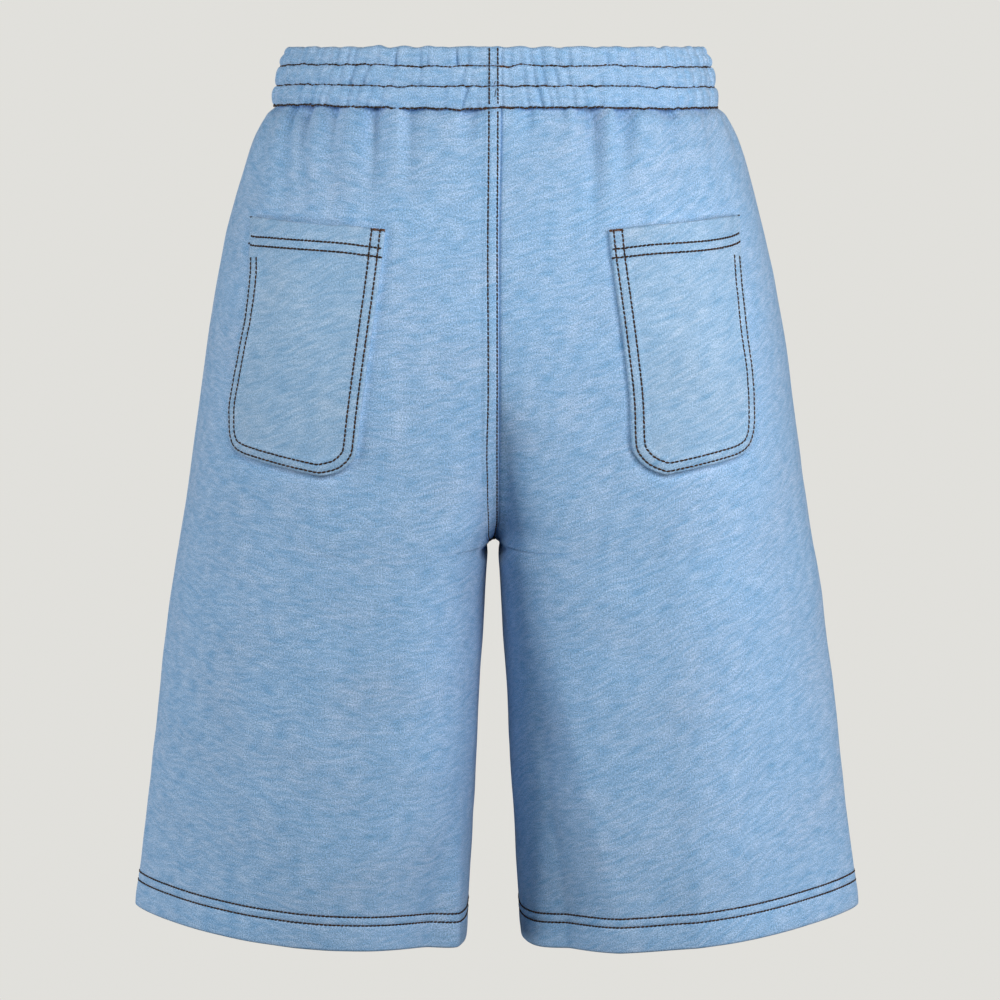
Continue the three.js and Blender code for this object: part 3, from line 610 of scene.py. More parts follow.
def panel_at(node, reach, drop, lift=0.0):
    """Point of a panel's outer surface, in mm, and its direction out."""
    face, side = node.split("_")
    reach, drop = np.broadcast_arrays(np.asarray(reach, float), np.asarray(drop, float))
    surface = FACES[face]
    p, n = surface.at(reach, drop)
    length = surface.reach_all(drop)
    mirror = np.array([-1.0, 1, 1]) if side == "right" else np.ones(3)
    p, n = p * mirror, n * mirror
    p = p + n * (relief(node, reach, drop, p, length, n[..., 1]) + lift)[..., None]
    return lean_point(face, side, p, drop), n


# ------------------------------------------------------------------ the panels
HEAD = [0, 0.35, 0.7, 1.1, 1.5, 2.0, 2.6, 3.3, 4.1, 5.0, 5.7, 6.3, 6.9, 7.5, 8.2, 9.0, 9.8, 10.7, 11.8, 13.2, 15.0]
TAIL = [4.6, 3.4, 2.4, 1.6, 1.0, 0.5, 0.0]


def graded(total, first, last, over):
    """Places from 0 to total whose spacing grows from first to last over a length."""
    at, out = 0.0, [0.0]
    while at < total:
        at += mix(first, last, min(1.0, at / over))
        out.append(at)
    out = np.array(out)
    return out * total / out[-1]


def panel_grid(node, middle_columns, pitch):
    face, side = node.split("_")
    surface = FACES[face]
    rise_length = 382.0 if face == "back" else 360.0
    rise = graded(rise_length, 0.8, pitch * 1.12, 34) / rise_length
    leg = graded(224.0, pitch, pitch, 10) / 224.0
    hem = np.concatenate([np.arange(24.5, 22.1, -0.6), np.arange(21.8, 18.6, -1.1),
                          np.arange(18.5, 16.0, -0.6), np.arange(15.4, 2.4, -1.5), [1.8]])
    rows = [("top", d) for d in (-2.4, -1.6, -0.9, -0.4)]
    rows += [("rise", s) for s in rise[:-1]]
    rows += [("leg", s) for s in leg[:-1]]
    rows += [("hem", k) for k in hem]

    def column_reach(length):
        head = np.array(HEAD)
        tail = length[:, None] - np.array(TAIL)[None, :]
        t = np.linspace(0, 1, middle_columns + 2)[1:-1]
        centre = HEAD[-1] + (length[:, None] - TAIL[0] - HEAD[-1]) * t[None, :]
        return np.concatenate([np.broadcast_to(head, (len(length), len(head))), centre, tail], 1)

    columns = len(HEAD) + middle_columns + len(TAIL)
    kind = np.array([r[0] for r in rows])
    value = np.array([r[1] for r in rows])
    share = np.broadcast_to(np.linspace(0, 1, columns), (len(rows), columns)).copy()
    top_length = surface.reach_all(PANEL_TOP)
    for _ in range(4):
        arc = share * (HALF_RING / 2)
        if face == "front":
            arc = HALF_RING - arc
        if side == "right":
            arc = -arc
        caught = ring_row(2, arc)
        hem_at = hem_drop(face, share)
        v = value[:, None]
        rise_drop = mix(SEAM_DROP[face](np.clip(v, 0, 1)), mix(PANEL_TOP, SIDE_AT_CROTCH, v), share)
        rise_drop = rise_drop + (caught - PANEL_TOP) * np.exp(-np.clip(v, 0, 1) * rise_length / 12)
        leg_drop = mix(mix(CROTCH_DROP, SIDE_AT_CROTCH, share), hem_at - 25.4, v)
        drop = np.where(kind[:, None] == "top", caught + v,
                        np.where(kind[:, None] == "rise", rise_drop,
                                 np.where(kind[:, None] == "leg", leg_drop, hem_at - v)))
        length = surface.reach_all(drop)
        reach = np.empty_like(drop)
        for j in range(len(rows)):
            r = column_reach(length[j])
            reach[j] = r[np.arange(columns), np.arange(columns)]
        share = reach / length
    return kind, reach, drop, share, hem_at


def grid_faces(rows, columns, start=0, flip=False):
    j, i = np.meshgrid(np.arange(rows - 1), np.arange(columns - 1), indexing="ij")
    a = start + j * columns + i
    quads = np.stack([a, a + 1, a + columns + 1, a + columns], -1).reshape(-1, 4)
    return quads[:, ::-1] if flip else quads


def panel_mesh(node, middle_columns, pitch):
    """A closed wall: the outer cloth, the rolled hem edge and the inner cloth."""
    face, side = node.split("_")
    kind, reach, drop, share, hem_at = panel_grid(node, middle_columns, pitch)
    outer, normal = panel_at(node, reach, drop)
    rows, columns = reach.shape
    # the rolled edge of the hem: half a turn of radius 1.8
    radius = 1.8
    base, nb = outer[-1], normal[-1].copy()
    nb[:, 2] = 0
    nb = unit(nb)
    down = np.array([0, 0, -1.0])
    turns = np.radians([30, 60, 90])
    roll = np.stack([base - nb * radius * (1 - math.cos(t)) + down * radius * math.sin(t) for t in turns])
    outer_all = np.concatenate([outer, roll])
    turns_in = np.radians([60, 30, 0])
    roll_in = np.stack([base - nb * radius * (1 + math.cos(t)) + down * radius * math.sin(t) for t in turns_in])
    # inner cloth, every second row, following most of the relief
    pick = list(range(0, rows - 1, 2))
    wall = np.where(kind == "hem", 3.6, CLOTH)
    inside = normal.copy()
    inner = outer - inside * wall[:, None, None]
    inner_all = np.concatenate([inner[pick], roll_in[::-1]])
    n_out = len(outer_all)
    verts = np.concatenate([outer_all.reshape(-1, 3), inner_all.reshape(-1, 3)])
    offset = n_out * columns
    n_in = len(inner_all)
    quads = [grid_faces(n_out, columns), grid_faces(n_in, columns, offset, flip=True)]
    # bottom: last outer row to last inner row (roll_in reversed ends with the 60 degree row)
    i = np.arange(columns - 1)
    a = (n_out - 1) * columns + i
    b = offset + (n_in - 1) * columns + i
    quads.append(np.stack([a, a + 1, b + 1, b], -1))
    # top
    a, b = i, offset + i
    quads.append(np.stack([a + 1, a, b, b + 1], -1))
    # sides
    index = pick + [rows - 1, rows, rows + 1]
    tris = []
    for column, flip in ((0, False), (columns - 1, True)):
        for m in range(n_in):
            start_row = index[m]
            if m + 1 < n_in:
                end_row = index[m + 1]
            else:
                end_row = n_out - 1
            im = offset + m * columns + column
            for k in range(start_row, end_row):
                t = (im, k * columns + column, (k + 1) * columns + column)
                tris.append(t[::-1] if flip else t)
            if m + 1 < n_in:
                t = (im, end_row * columns + column, im + columns)
                tris.append(t[::-1] if flip else t)
    quads = np.concatenate(quads)
    tris = np.array(tris)
    # cloth coordinates
    slope = COURSE_SLOPE[node]
    grid_r = np.linspace(-80, 300, 761)
    bow = np.concatenate([[0], np.cumsum((slope(grid_r)[1:] + slope(grid_r)[:-1]) / 2 * np.diff(grid_r))])
    place = FACES[face].place(reach, drop)
    v = drop - np.interp(place, grid_r, bow)
    uv_out = np.stack([place, v], -1)
    extra = np.stack([uv_out[-1] + [0, 1.2 * (k + 1)] for k in range(3)])
    uv_outer = np.concatenate([uv_out, extra])
    uv_inner = np.concatenate([uv_out[pick], extra[::-1] + [0, 3.0]])
    uv = np.concatenate([uv_outer.reshape(-1, 2), uv_inner.reshape(-1, 2)]) + [400.0 * (1 + list(FOLDS).index(node)), 0]
    return verts, quads, tris, uv


# ------------------------------------------------------------------ the waistband
RING_STEPS = 880
_ring_power = 2 / 2.15


def _ring_table():
    a, b = AT["side"](19.0), AT["back"](19.0)
    angle = math.pi / 2 - np.linspace(0, 2 * math.pi, 8001)
    c, s = np.cos(angle), np.sin(angle)
    x = a * np.sign(c) * np.abs(c) ** _ring_power
    y = b * np.sign(s) * np.abs(s) ** _ring_power
    cum = np.concatenate([[0], np.cumsum(np.hypot(np.diff(x), np.diff(y)))])
    return cum / cum[-1], angle


RING_SHARE, RING_ANGLE = _ring_table()


def ring_at(p, drop):
    """Point of the band's reference line and its direction out."""
    share = (np.asarray(p, float) / (2 * HALF_RING)) % 1.0
    angle = np.interp(share, RING_SHARE, RING_ANGLE)
    c, s = np.cos(angle), np.sin(angle)
    a, b = AT["side"](drop), AT["back"](drop)
    x = a * np.sign(c) * np.abs(c) ** _ring_power
    y = b * np.sign(s) * np.abs(s) ** _ring_power
    nx = np.sign(c) * np.abs(c) ** (2 - _ring_power) / a
    ny = np.sign(s) * np.abs(s) ** (2 - _ring_power) / b
    n = unit(np.stack([nx, ny, np.zeros_like(nx)], -1))
    return np.stack([x, y, TOP - drop + 0 * x], -1), n, np.abs(x) / a


def around(p, q):
    """Signed way round the band from q to p."""
    return (p - q + HALF_RING) % (2 * HALF_RING) - HALF_RING


def seeded_gathers(channel):
    """Gathers of the sides and the front, where the back's tables end."""
    rng = np.random.default_rng(51 + channel)
    ends = BAND_GATHERS[channel]
    at, stop, rows = max(r[0] for r in ends) + 6, 2 * HALF_RING + min(r[0] for r in ends) - 5, []
    while at < stop:
        from_front = around(at, HALF_RING)
        slant = 2.5 * np.tanh(from_front / 60) + rng.uniform(-1.2, 1.2)
        rows.append([at, slant, rng.uniform(1.4, 2.1), rng.choice([0.35, 0.5, 0.65, 0.8, 0.95, 1.25], p=[0.2, 0.2, 0.2, 0.2, 0.12, 0.08])])
        at += rng.uniform(5.0, 10.5)
    return rows


GATHERS = [BAND_GATHERS[k] + seeded_gathers(k) for k in range(3)]
BAND_WAVE = [Line(61 + k, 9, 40) for k in range(3)]
TOP_WAVE = Line(66, 7, 30)
BAND_LUMPS = Waves(67, 24, 9, 26, 1.0)
ROW_PUCKERS = [Line(71 + k, 4.2, 9.5, 30) for k in range(8)]


def top_dip(p):
    dip = 0.22 * TOP_WAVE(p)
    for at, high in TOP_SCALLOPS:
        dip = dip - high * bell(around(p, at) / 4.0)
    return dip


def channel_out(channel, u, p):
    """Relief of one puffed channel; u runs from its upper row to its lower one."""
    swell = 2.5 + 0.30 * BAND_WAVE[channel](p)
    base = -1.3
    skew = np.clip(u, 0, 1) ** 0.74            # fullest a little above the middle
    out = base + swell * np.clip(4 * skew * (1 - skew), 0, 1) ** 0.66
    for at, slant, half, depth in GATHERS[channel]:
        off = around(p, at + slant * (0.5 - u)) / half
        near = np.abs(off) < 4
        shape = (0.55 + 0.45 * np.abs(2 * u - 1)) * np.clip(4 * u * (1 - u), 0, 1) ** 0.25
        out = out - np.where(near, 2.1 * depth * bell(off) * shape, 0)
        out = out + np.where(near, 0.5 * depth * (bell(off - 1.7) + bell(off + 1.7)) * shape, 0)
    # short puckers at the rows
    for k, (edge, way) in enumerate(((u, 1), (1 - u, -1))):
        out = out + 0.30 * ROW_PUCKERS[2 * channel + k](p) * np.exp(-edge / 0.22) * (1 - np.exp(-edge / 0.03))
    return out


def band_outer(p, drop):
    """Outer surface of the band below its top roll: relief by arc place and drop."""
    r1, r2, r3 = ring_row(0, p), ring_row(1, p), ring_row(2, p)
    out = np.where(drop < r1, channel_out(0, mix(0.28, 1.0, np.clip(drop / r1, 0, 1)), p),
                   np.where(drop < r2, channel_out(1, np.clip((drop - r1) / (r2 - r1), 0, 1), p),
                            channel_out(2, np.clip((drop - r2) / (r3 - r2), 0, 1), p)))
    base, _n, _s = ring_at(p, drop)
    out = out + 0.16 * BAND_LUMPS(base)
    # centre seams, back and front: a groove, and the allowance beside it
    for middle, seam, lo, hi in ((0.0, -3.8, -3.8, 4.8), (HALF_RING, 0.0, -8.4, 0.0)):
        d = around(p, middle)
        out = out - 0.75 * bell((d - seam) / 0.8)
        out = out + 0.35 * step((d - lo) / 1.0) * step((hi - d) / 1.2)
    return out


def band_point(p, drop, inward=0.0):
    """Outer surface of the band; inward moves it towards the wearer."""
    base, n, side = ring_at(p, drop)
    out = band_outer(p, drop) - inward
    # the top leans in a little round the sides
    lean = 10.5 * side ** 5 * np.square(np.clip(1 - drop / 11.0, 0, 1)) + 0.9 * np.square(np.clip(1 - drop / 8.0, 0, 1))
    return base + n * (out - lean)[..., None], n


def band_mesh():
    p = np.arange(RING_STEPS) / RING_STEPS * 2 * HALF_RING
    r1, r2, r3 = ring_row(0, p), ring_row(1, p), ring_row(2, p)
    dense = 0.5 - 0.5 * np.cos(np.linspace(0, math.pi, 15))     # closer near the rows
    dense = 0.35 * np.linspace(0, 1, 15) + 0.65 * dense
    rows, cloth_v = [], []
    dip = top_dip(p)

    def add(pos, v):
        rows.append(pos)
        cloth_v.append(np.broadcast_to(v, (RING_STEPS,)).copy())

    # outside, from the lowest row up
    for t in dense[::-1]:
        add(band_point(p, mix(r2, r3, t))[0], mix(r2, r3, t))
    for t in dense[::-1][1:]:
        add(band_point(p, mix(r1, r2, t))[0], mix(r1, r2, t))
    crown = 4.6
    for t in np.linspace(1, 0, 11)[1:]:
        d = mix(crown + 0 * r1, r1, t)
        add(band_point(p, d)[0], d)
    # the top roll: an elliptic turn from the outer face to the inner one
    front_p, n = band_point(p, np.full(RING_STEPS, crown))
    wall = 6.3
    centre = front_p - n * (wall / 2)
    height = crown - 0.35 - dip
    for t in np.radians([14, 28, 42, 56, 70, 84, 98, 114, 130, 148, 166]):
        q = centre + n * (wall / 2 * math.cos(t)) + np.array([0, 0, 1.0]) * (height * math.sin(t) ** 0.9)[:, None]
        add(q, crown - height * math.sin(t) - (2 if t > 1.57 else 0))
    # inside, down: the elastic holds the gathers there too
    inner_wave = 0.45 * BAND_WAVE[1](p) + 0.5 * BAND_WAVE[2](p + 3.1)
    for d in (crown, 7.5, 10.5, 12.7, 15, 19, 22.5, 25.2, 28, 32, 35.5, 38.2):
        row_pull = 0.7 * (bell((d - 12.7) / 1.6) + bell((d - 25.2) / 1.6))
        base, n, side = ring_at(p, np.full(RING_STEPS, float(d)))
        lean = 10.5 * side ** 5 * max(0, 1 - d / 11.0) ** 2 + 0.9 * max(0, 1 - d / 8.0) ** 2
        out = -wall - 0.9 + row_pull + 0.5 * inner_wave * (1 - bell((d - 12.7) / 2) - bell((d - 25.2) / 2)) - lean
        add(base + n * out[:, None], 60.0 + d)
    # the lower lip
    base, n, side = ring_at(p, r3 + 0.5)
    add(base + n * -6.2, 100.5)
    base, n, side = ring_at(p, r3 + 0.5)
    add(base + n * -3.0, 104.0)
    grid = np.stack(rows)                      # profile, round
    count, steps = grid.shape[:2]
    verts = grid.reshape(-1, 3)
    j, k = np.meshgrid(np.arange(count), np.arange(steps), indexing="ij")
    j2, k2 = (j + 1) % count, (k + 1) % steps
    quads = np.stack([j * steps + k, j * steps + k2, j2 * steps + k2, j2 * steps + k], -1).reshape(-1, 4)
    v = np.stack(cloth_v)
    u = p[None, :] * 1.25
    v2 = np.concatenate([v[1:], v[:1] + 110])
    whole = 2 * HALF_RING * 1.25
    u_next = np.concatenate([u[:, 1:], u[:, :1] + whole], 1)
    u_b = np.broadcast_to(u, v.shape)
    un_b = np.broadcast_to(u_next, v.shape)
    v_next = np.concatenate([v[:, 1:], v[:, :1]], 1)
    v2_next = np.concatenate([v2[:, 1:], v2[:, :1]], 1)
    uv = np.stack([np.stack([u_b, v], -1), np.stack([un_b, v_next], -1), np.stack([un_b, v2_next], -1), np.stack([u_b, v2], -1)], 2)
    return verts, quads, uv.reshape(-1, 4, 2)


# ------------------------------------------------------------------ the pockets
class Pocket:
    def __init__(self, side):
        self.side = side
        self.node = f"back_{side}"
        rows = np.array(POCKETS[side])
        at = np.arange(len(rows))
        self.edge = [Curve(at, rows[:, k]) for k in range(4)]
        t = np.linspace(0, len(rows) - 1, 400)
        inner = np.stack([self.edge[0](t), self.edge[1](t)], 1)
        outer = np.stack([self.edge[2](t), self.edge[3](t)], 1)
        self.inner_corner, self.outer_corner = inner[0], outer[0]
        # outline: down the inner side, along the lower edge, up the outer side
        low = inner[-1] + (outer[-1] - inner[-1]) * np.linspace(0, 1, 60)[1:-1, None]
        path = np.concatenate([inner, low, outer[::-1]])
        path, self.girth = resample(path, 700)
        smooth = path.copy()
        for _ in range(30):
            smooth[1:-1] = (smooth[:-2] + 2 * smooth[1:-1] + smooth[2:]) / 4
        self.path = smooth
        self.hem = Curve(*np.array(POCKET_HEMS[side]).T)
        self.rows = [self.offset(d) for d in POCKET_ROWS]
        self.puckers = Waves(81 if side == "left" else 82, 26, 7, 18, 1.0)
        self.lumps = Waves(83 if side == "left" else 84, 20, 24, 70, 0.35)
        # mouth: from the outer corner back to the inner one
        s = np.linspace(0, 1, 80)[:, None]
        self.mouth = self.outer_corner + (self.inner_corner - self.outer_corner) * s

    def offset(self, distance):
        """The outline moved inwards by a distance."""
        p = self.path
        t = np.gradient(p, axis=0)
        t /= np.linalg.norm(t, axis=1)[:, None]
        n = np.stack([t[:, 1], -t[:, 0]], 1)
        centre = p.mean(0)
        if ((centre - p) * n).sum() < 0:
            n = -n
        q = p + n * distance
        # drop the stretch where a tight corner folds the line over itself
        keep = [0]
        for i in range(1, len(q)):
            if np.dot(q[i] - q[keep[-1]], t[i]) > 0.05:
                keep.append(i)
        q = q[keep]
        return resample(q, 500)[0]

    def distance(self, reach, drop, path):
        q = np.stack([reach, drop], -1).reshape(-1, 2)
        out = np.empty(len(q))
        for i in range(0, len(q), 3000):
            out[i:i + 3000] = np.sqrt(((q[i:i + 3000, None, :] - path[None]) ** 2).sum(-1).min(1))
        return out.reshape(np.shape(reach))

    def grid(self, across, down):
        t = np.linspace(0, 10, 2001)
        middle = (self.edge[1](t) + self.edge[3](t)) / 2
        length = np.concatenate([[0], np.cumsum(np.diff(middle))])
        ease = np.linspace(0, 1, down)
        ease = 0.82 * ease + 0.18 * (0.5 - 0.5 * np.cos(math.pi * ease))
        w = np.interp(ease * length[-1], length, t)
        s = np.linspace(0, 1, across)
        s = 0.72 * s + 0.28 * (0.5 - 0.5 * np.cos(math.pi * s))
        w, s = w[:, None], s[None, :]
        reach = mix(self.edge[0](w), self.edge[2](w), s)
        drop = mix(self.edge[1](w), self.edge[3](w), s)
        return reach, drop, w, np.broadcast_to(s, reach.shape)

    def lift(self, reach, drop):
        """Height of the pocket's outer surface over the panel."""
        side_d = self.distance(reach, drop, self.path)
        mouth_d = self.distance(reach, drop, self.mouth)
        edge_d = np.minimum(side_d, mouth_d)
        round_edge = np.sqrt(np.clip(1 - np.square(1 - np.clip(edge_d / 1.1, 0, 1)), 0, 1))
        height = 2.25 + 0.75 * (1 - step((side_d - 9.0) / 3.0))
        hem = self.hem(reach)
        in_hem = 1 - step((drop - hem - POCKET_HEM_GAP - 0.6) / 1.4)
        height = np.maximum(height, 2.25 + 1.0 * in_hem)
        point, _n = FACES["back"].at(reach, drop)
        pucker = self.puckers(point)
        groove = np.zeros_like(reach)
        for row in self.rows:
            d = self.distance(reach, drop, row)
            groove += (0.36 + 0.05 * pucker) * bell(d / 0.8) - 0.10 * pucker * bell(d / 3.4)
        for gap in (0, POCKET_HEM_GAP):
            d = drop - hem - gap
            groove += (0.34 + 0.05 * pucker) * bell(d / 0.8) - 0.08 * pucker * bell(d / 3.2)
        slack = 2.0 * (1 - step(mouth_d / 34)) * step(side_d / 26)
        body = self.lumps(point) * step(edge_d / 22)
        return 0.15 + round_edge * (height - groove) + slack + body * 0.9

    def at(self, reach, drop, extra=0.0):
        base, n = panel_at(self.node, reach, drop)
        return base + n * (self.lift(np.asarray(reach, float), np.asarray(drop, float)) + extra)[..., None], n

    def mesh(self, across=92, down=124):
        reach, drop, w, s = self.grid(across, down)
        base, n = panel_at(self.node, reach, drop)
        lift = self.lift(reach, drop)
        outer = base + n * lift[..., None]
        side_d = self.distance(reach, drop, self.path)
        mouth_d = self.distance(reach, drop, self.mouth)
        # the underside follows the panel, and hangs a little open at the mouth
        under_slack = 1.6 * (1 - step(mouth_d / 30)) * step(side_d / 26)
        inner = base + n * np.minimum(0.1 + under_slack, lift - 0.05)[..., None]
        verts = np.concatenate([outer.reshape(-1, 3), inner.reshape(-1, 3)])
        quads = [grid_faces(down, across), grid_faces(down, across, down * across, flip=True)]
        off = down * across
        i = np.arange(across - 1)
        quads.append(np.stack([i + 1, i, off + i, off + i + 1], -1))
        a = (down - 1) * across + i
        quads.append(np.stack([a, a + 1, off + a + 1, off + a], -1))
        j = np.arange(down - 1) * across
        quads.append(np.stack([j, j + across, off + j + across, off + j], -1))
        b = j + across - 1
        quads.append(np.stack([b + across, b, off + b, off + b + across], -1))
        tilt = 0.28 if self.side == "left" else -0.44
        uv = np.stack([reach, drop - tilt * reach], -1).reshape(-1, 2) + [2400.0 if self.side == "left" else 2800.0, 0]
        return verts, np.concatenate(quads), np.concatenate([uv, uv + [0, 300.0]])


# ------------------------------------------------------------------ stitches
def place_row(path, pitch, rng, start=0.0, jitter=0.12):
    """Centres, directions along and directions out of stitches on a fine line of (point, out)."""
    points, normals = path
    seg = np.linalg.norm(np.diff(points, axis=0), axis=1)
    cum = np.concatenate([[0], np.cumsum(seg)])
    at = np.arange(start + pitch / 2, cum[-1] - pitch * 0.3, pitch)
    at = at + rng.uniform(-jitter, jitter, len(at))
    c = np.stack([np.interp(at, cum, points[:, k]) for k in range(3)], 1)
    a = np.stack([np.interp(at + 0.6, cum, points[:, k]) for k in range(3)], 1)
    b = np.stack([np.interp(at - 0.6, cum, points[:, k]) for k in range(3)], 1)
    n = unit(np.stack([np.interp(at, cum, normals[:, k]) for k in range(3)], 1))
    along = unit(a - b)
    n = unit(n - along * (n * along).sum(1)[:, None])
    return c, along, n


CAPSULE_RINGS = ((-0.78, 0.72), (0.0, 1.0), (0.78, 0.72))


def stitch_mesh(centres, along, out, length, width, rng, turn=0.14, spread=0.10, thick=0.8, tone=(0.0, 1.0)):
    """Short twisted threads that dip into the cloth at both ends, as one mesh."""
    n = len(centres)
    turn = turn + rng.normal(0, spread, n)
    side = np.cross(out, along)
    axis = unit(along * np.cos(turn)[:, None] + side * np.sin(turn)[:, None])
    side = np.cross(out, axis)
    length = length * rng.uniform(0.92, 1.06, n)
    ring = np.radians(np.arange(0, 360, 60))
    verts = [centres - axis * (length / 2)[:, None] - out * (0.42 * width)]
    for at, size in CAPSULE_RINGS:
        sink = 0.34 * width * at * at
        for a in ring:
            verts.append(centres + axis * (at * length / 2)[:, None] + side * (size * width / 2 * math.cos(a))
                         + out * (size * width * thick / 2 * math.sin(a) - sink))
    verts.append(centres + axis * (length / 2)[:, None] - out * (0.42 * width))
    verts = np.stack(verts, 1)                 # stitch, corner, xyz
    per = verts.shape[1]
    tris, quads = [], []
    for k in range(6):
        tris.append([0, 1 + (k + 1) % 6, 1 + k])
        tris.append([per - 1, 13 + k, 13 + (k + 1) % 6])
        for r in (0, 1):
            a = 1 + 6 * r + k
            b = 1 + 6 * r + (k + 1) % 6
            quads.append([a, b, b + 6, a + 6])
    base = (np.arange(n) * per)[:, None, None]
    tris = (np.array(tris)[None] + base).reshape(-1, 3)
    quads = (np.array(quads)[None] + base).reshape(-1, 4)
    shade = rng.uniform(tone[0], tone[1], n)
    v = np.concatenate([[0.0], np.repeat([0.12, 0.5, 0.88], 6), [1.0]])
    uv = np.stack([np.broadcast_to(shade[:, None], (n, per)), np.broadcast_to(v[None], (n, per))], -1)
    return verts.reshape(-1, 3), quads, tris, uv.reshape(-1, 2)


def join(parts):
    verts, quads, tris, uv, base = [], [], [], [], 0
    for v, q, t, m in parts:
        verts.append(v), quads.append(q + base), tris.append(t + base), uv.append(m)
        base += len(v)
    return np.concatenate(verts), np.concatenate(quads), np.concatenate(tris), np.concatenate(uv)


# ================================================================== Blender
def make_mesh(name, verts, quads, tris, uv, per_corner=False):
    """A mesh object in metres from arrays in mm, faces turned outwards, smooth shaded."""
    quads = np.asarray(quads, np.int32).reshape(-1, 4)
    tris = np.asarray(tris, np.int32).reshape(-1, 3)
    mesh = bpy.data.meshes.new(name)
    mesh.vertices.add(len(verts))
    mesh.vertices.foreach_set("co", (np.asarray(verts, float) * MM).astype(np.float32).ravel())
    corners = np.concatenate([quads.ravel(), tris.ravel()])
    mesh.loops.add(len(corners))
    mesh.loops.foreach_set("vertex_index", corners.astype(np.int32))
    starts = np.concatenate([np.arange(len(quads)) * 4, len(quads) * 4 + np.arange(len(tris)) * 3])
    mesh.polygons.add(len(starts))
    mesh.polygons.foreach_set("loop_start", starts.astype(np.int32))
    layer = mesh.uv_layers.new(name="cloth")
    flat = np.asarray(uv, float).reshape(-1, 2) if per_corner else np.asarray(uv, float)[corners]
    layer.data.foreach_set("uv", (flat * MM).astype(np.float32).ravel())
    mesh.update(calc_edges=True)
    mesh.validate()
    work = bmesh.new()
    work.from_mesh(mesh)
    bmesh.ops.recalc_face_normals(work, faces=work.faces)
    if work.calc_volume(signed=True) < 0:
        bmesh.ops.reverse_faces(work, faces=work.faces)
    work.to_mesh(mesh)
    work.free()
    mesh.polygons.foreach_set("use_smooth", np.ones(len(mesh.polygons), bool))
    mesh.set_sharp_from_angle(angle=math.radians(62))
    thing = bpy.data.objects.new(name, mesh)
    bpy.context.scene.collection.objects.link(thing)
    return thing


# ------------------------------------------------------------------ materials
class Nodes:
    """A little help for building node trees."""

    def __init__(self, name):
        self.material = bpy.data.materials.new(name)
        self.material.use_nodes = True
        self.tree = self.material.node_tree
        self.tree.nodes.clear()
        self.x = 0

    def node(self, kind, **values):
        made = self.tree.nodes.new(kind)
        self.x += 160
        made.location = (self.x, 0)
        for key, value in values.items():
            setattr(made, key, value)
        return made

    def link(self, a, b):
        self.tree.links.new(a, b)

    def put(self, socket, value):
        if isinstance(value, bpy.types.NodeSocket):
            self.link(value, socket)
        else:
            socket.default_value = value

    def math(self, operation, a, b=None, clamp=False):
        n = self.node("ShaderNodeMath", operation=operation, use_clamp=clamp)
        self.put(n.inputs[0], a)
        if b is not None:
            self.put(n.inputs[1], b)
        return n.outputs[0]

    def scale(self, vector, by):
        n = self.node("ShaderNodeVectorMath", operation="MULTIPLY")
        self.put(n.inputs[0], vector)
        n.inputs[1].default_value = by
        return n.outputs[0]

    def shift(self, vector, by):
        n = self.node("ShaderNodeVectorMath", operation="ADD")
        self.put(n.inputs[0], vector)
        self.put(n.inputs[1], by)
        return n.outputs[0]

    def noise(self, vector, detail=0.0, roughness=0.5, distortion=0.0):
        n = self.node("ShaderNodeTexNoise", noise_dimensions="2D")
        self.put(n.inputs["Vector"], vector)
        n.inputs["Scale"].default_value = 1.0
        n.inputs["Detail"].default_value = detail
        n.inputs["Roughness"].default_value = roughness
        n.inputs["Distortion"].default_value = distortion
        return n.outputs["Fac"]

    def mix(self, factor, a, b):
        n = self.node("ShaderNodeMix", data_type="RGBA")
        self.put(n.inputs[0], factor)
        for socket, value in ((n.inputs[6], a), (n.inputs[7], b)):
            self.put(socket, value if isinstance(value, bpy.types.NodeSocket) else (*value, 1.0))
        return n.outputs[2]


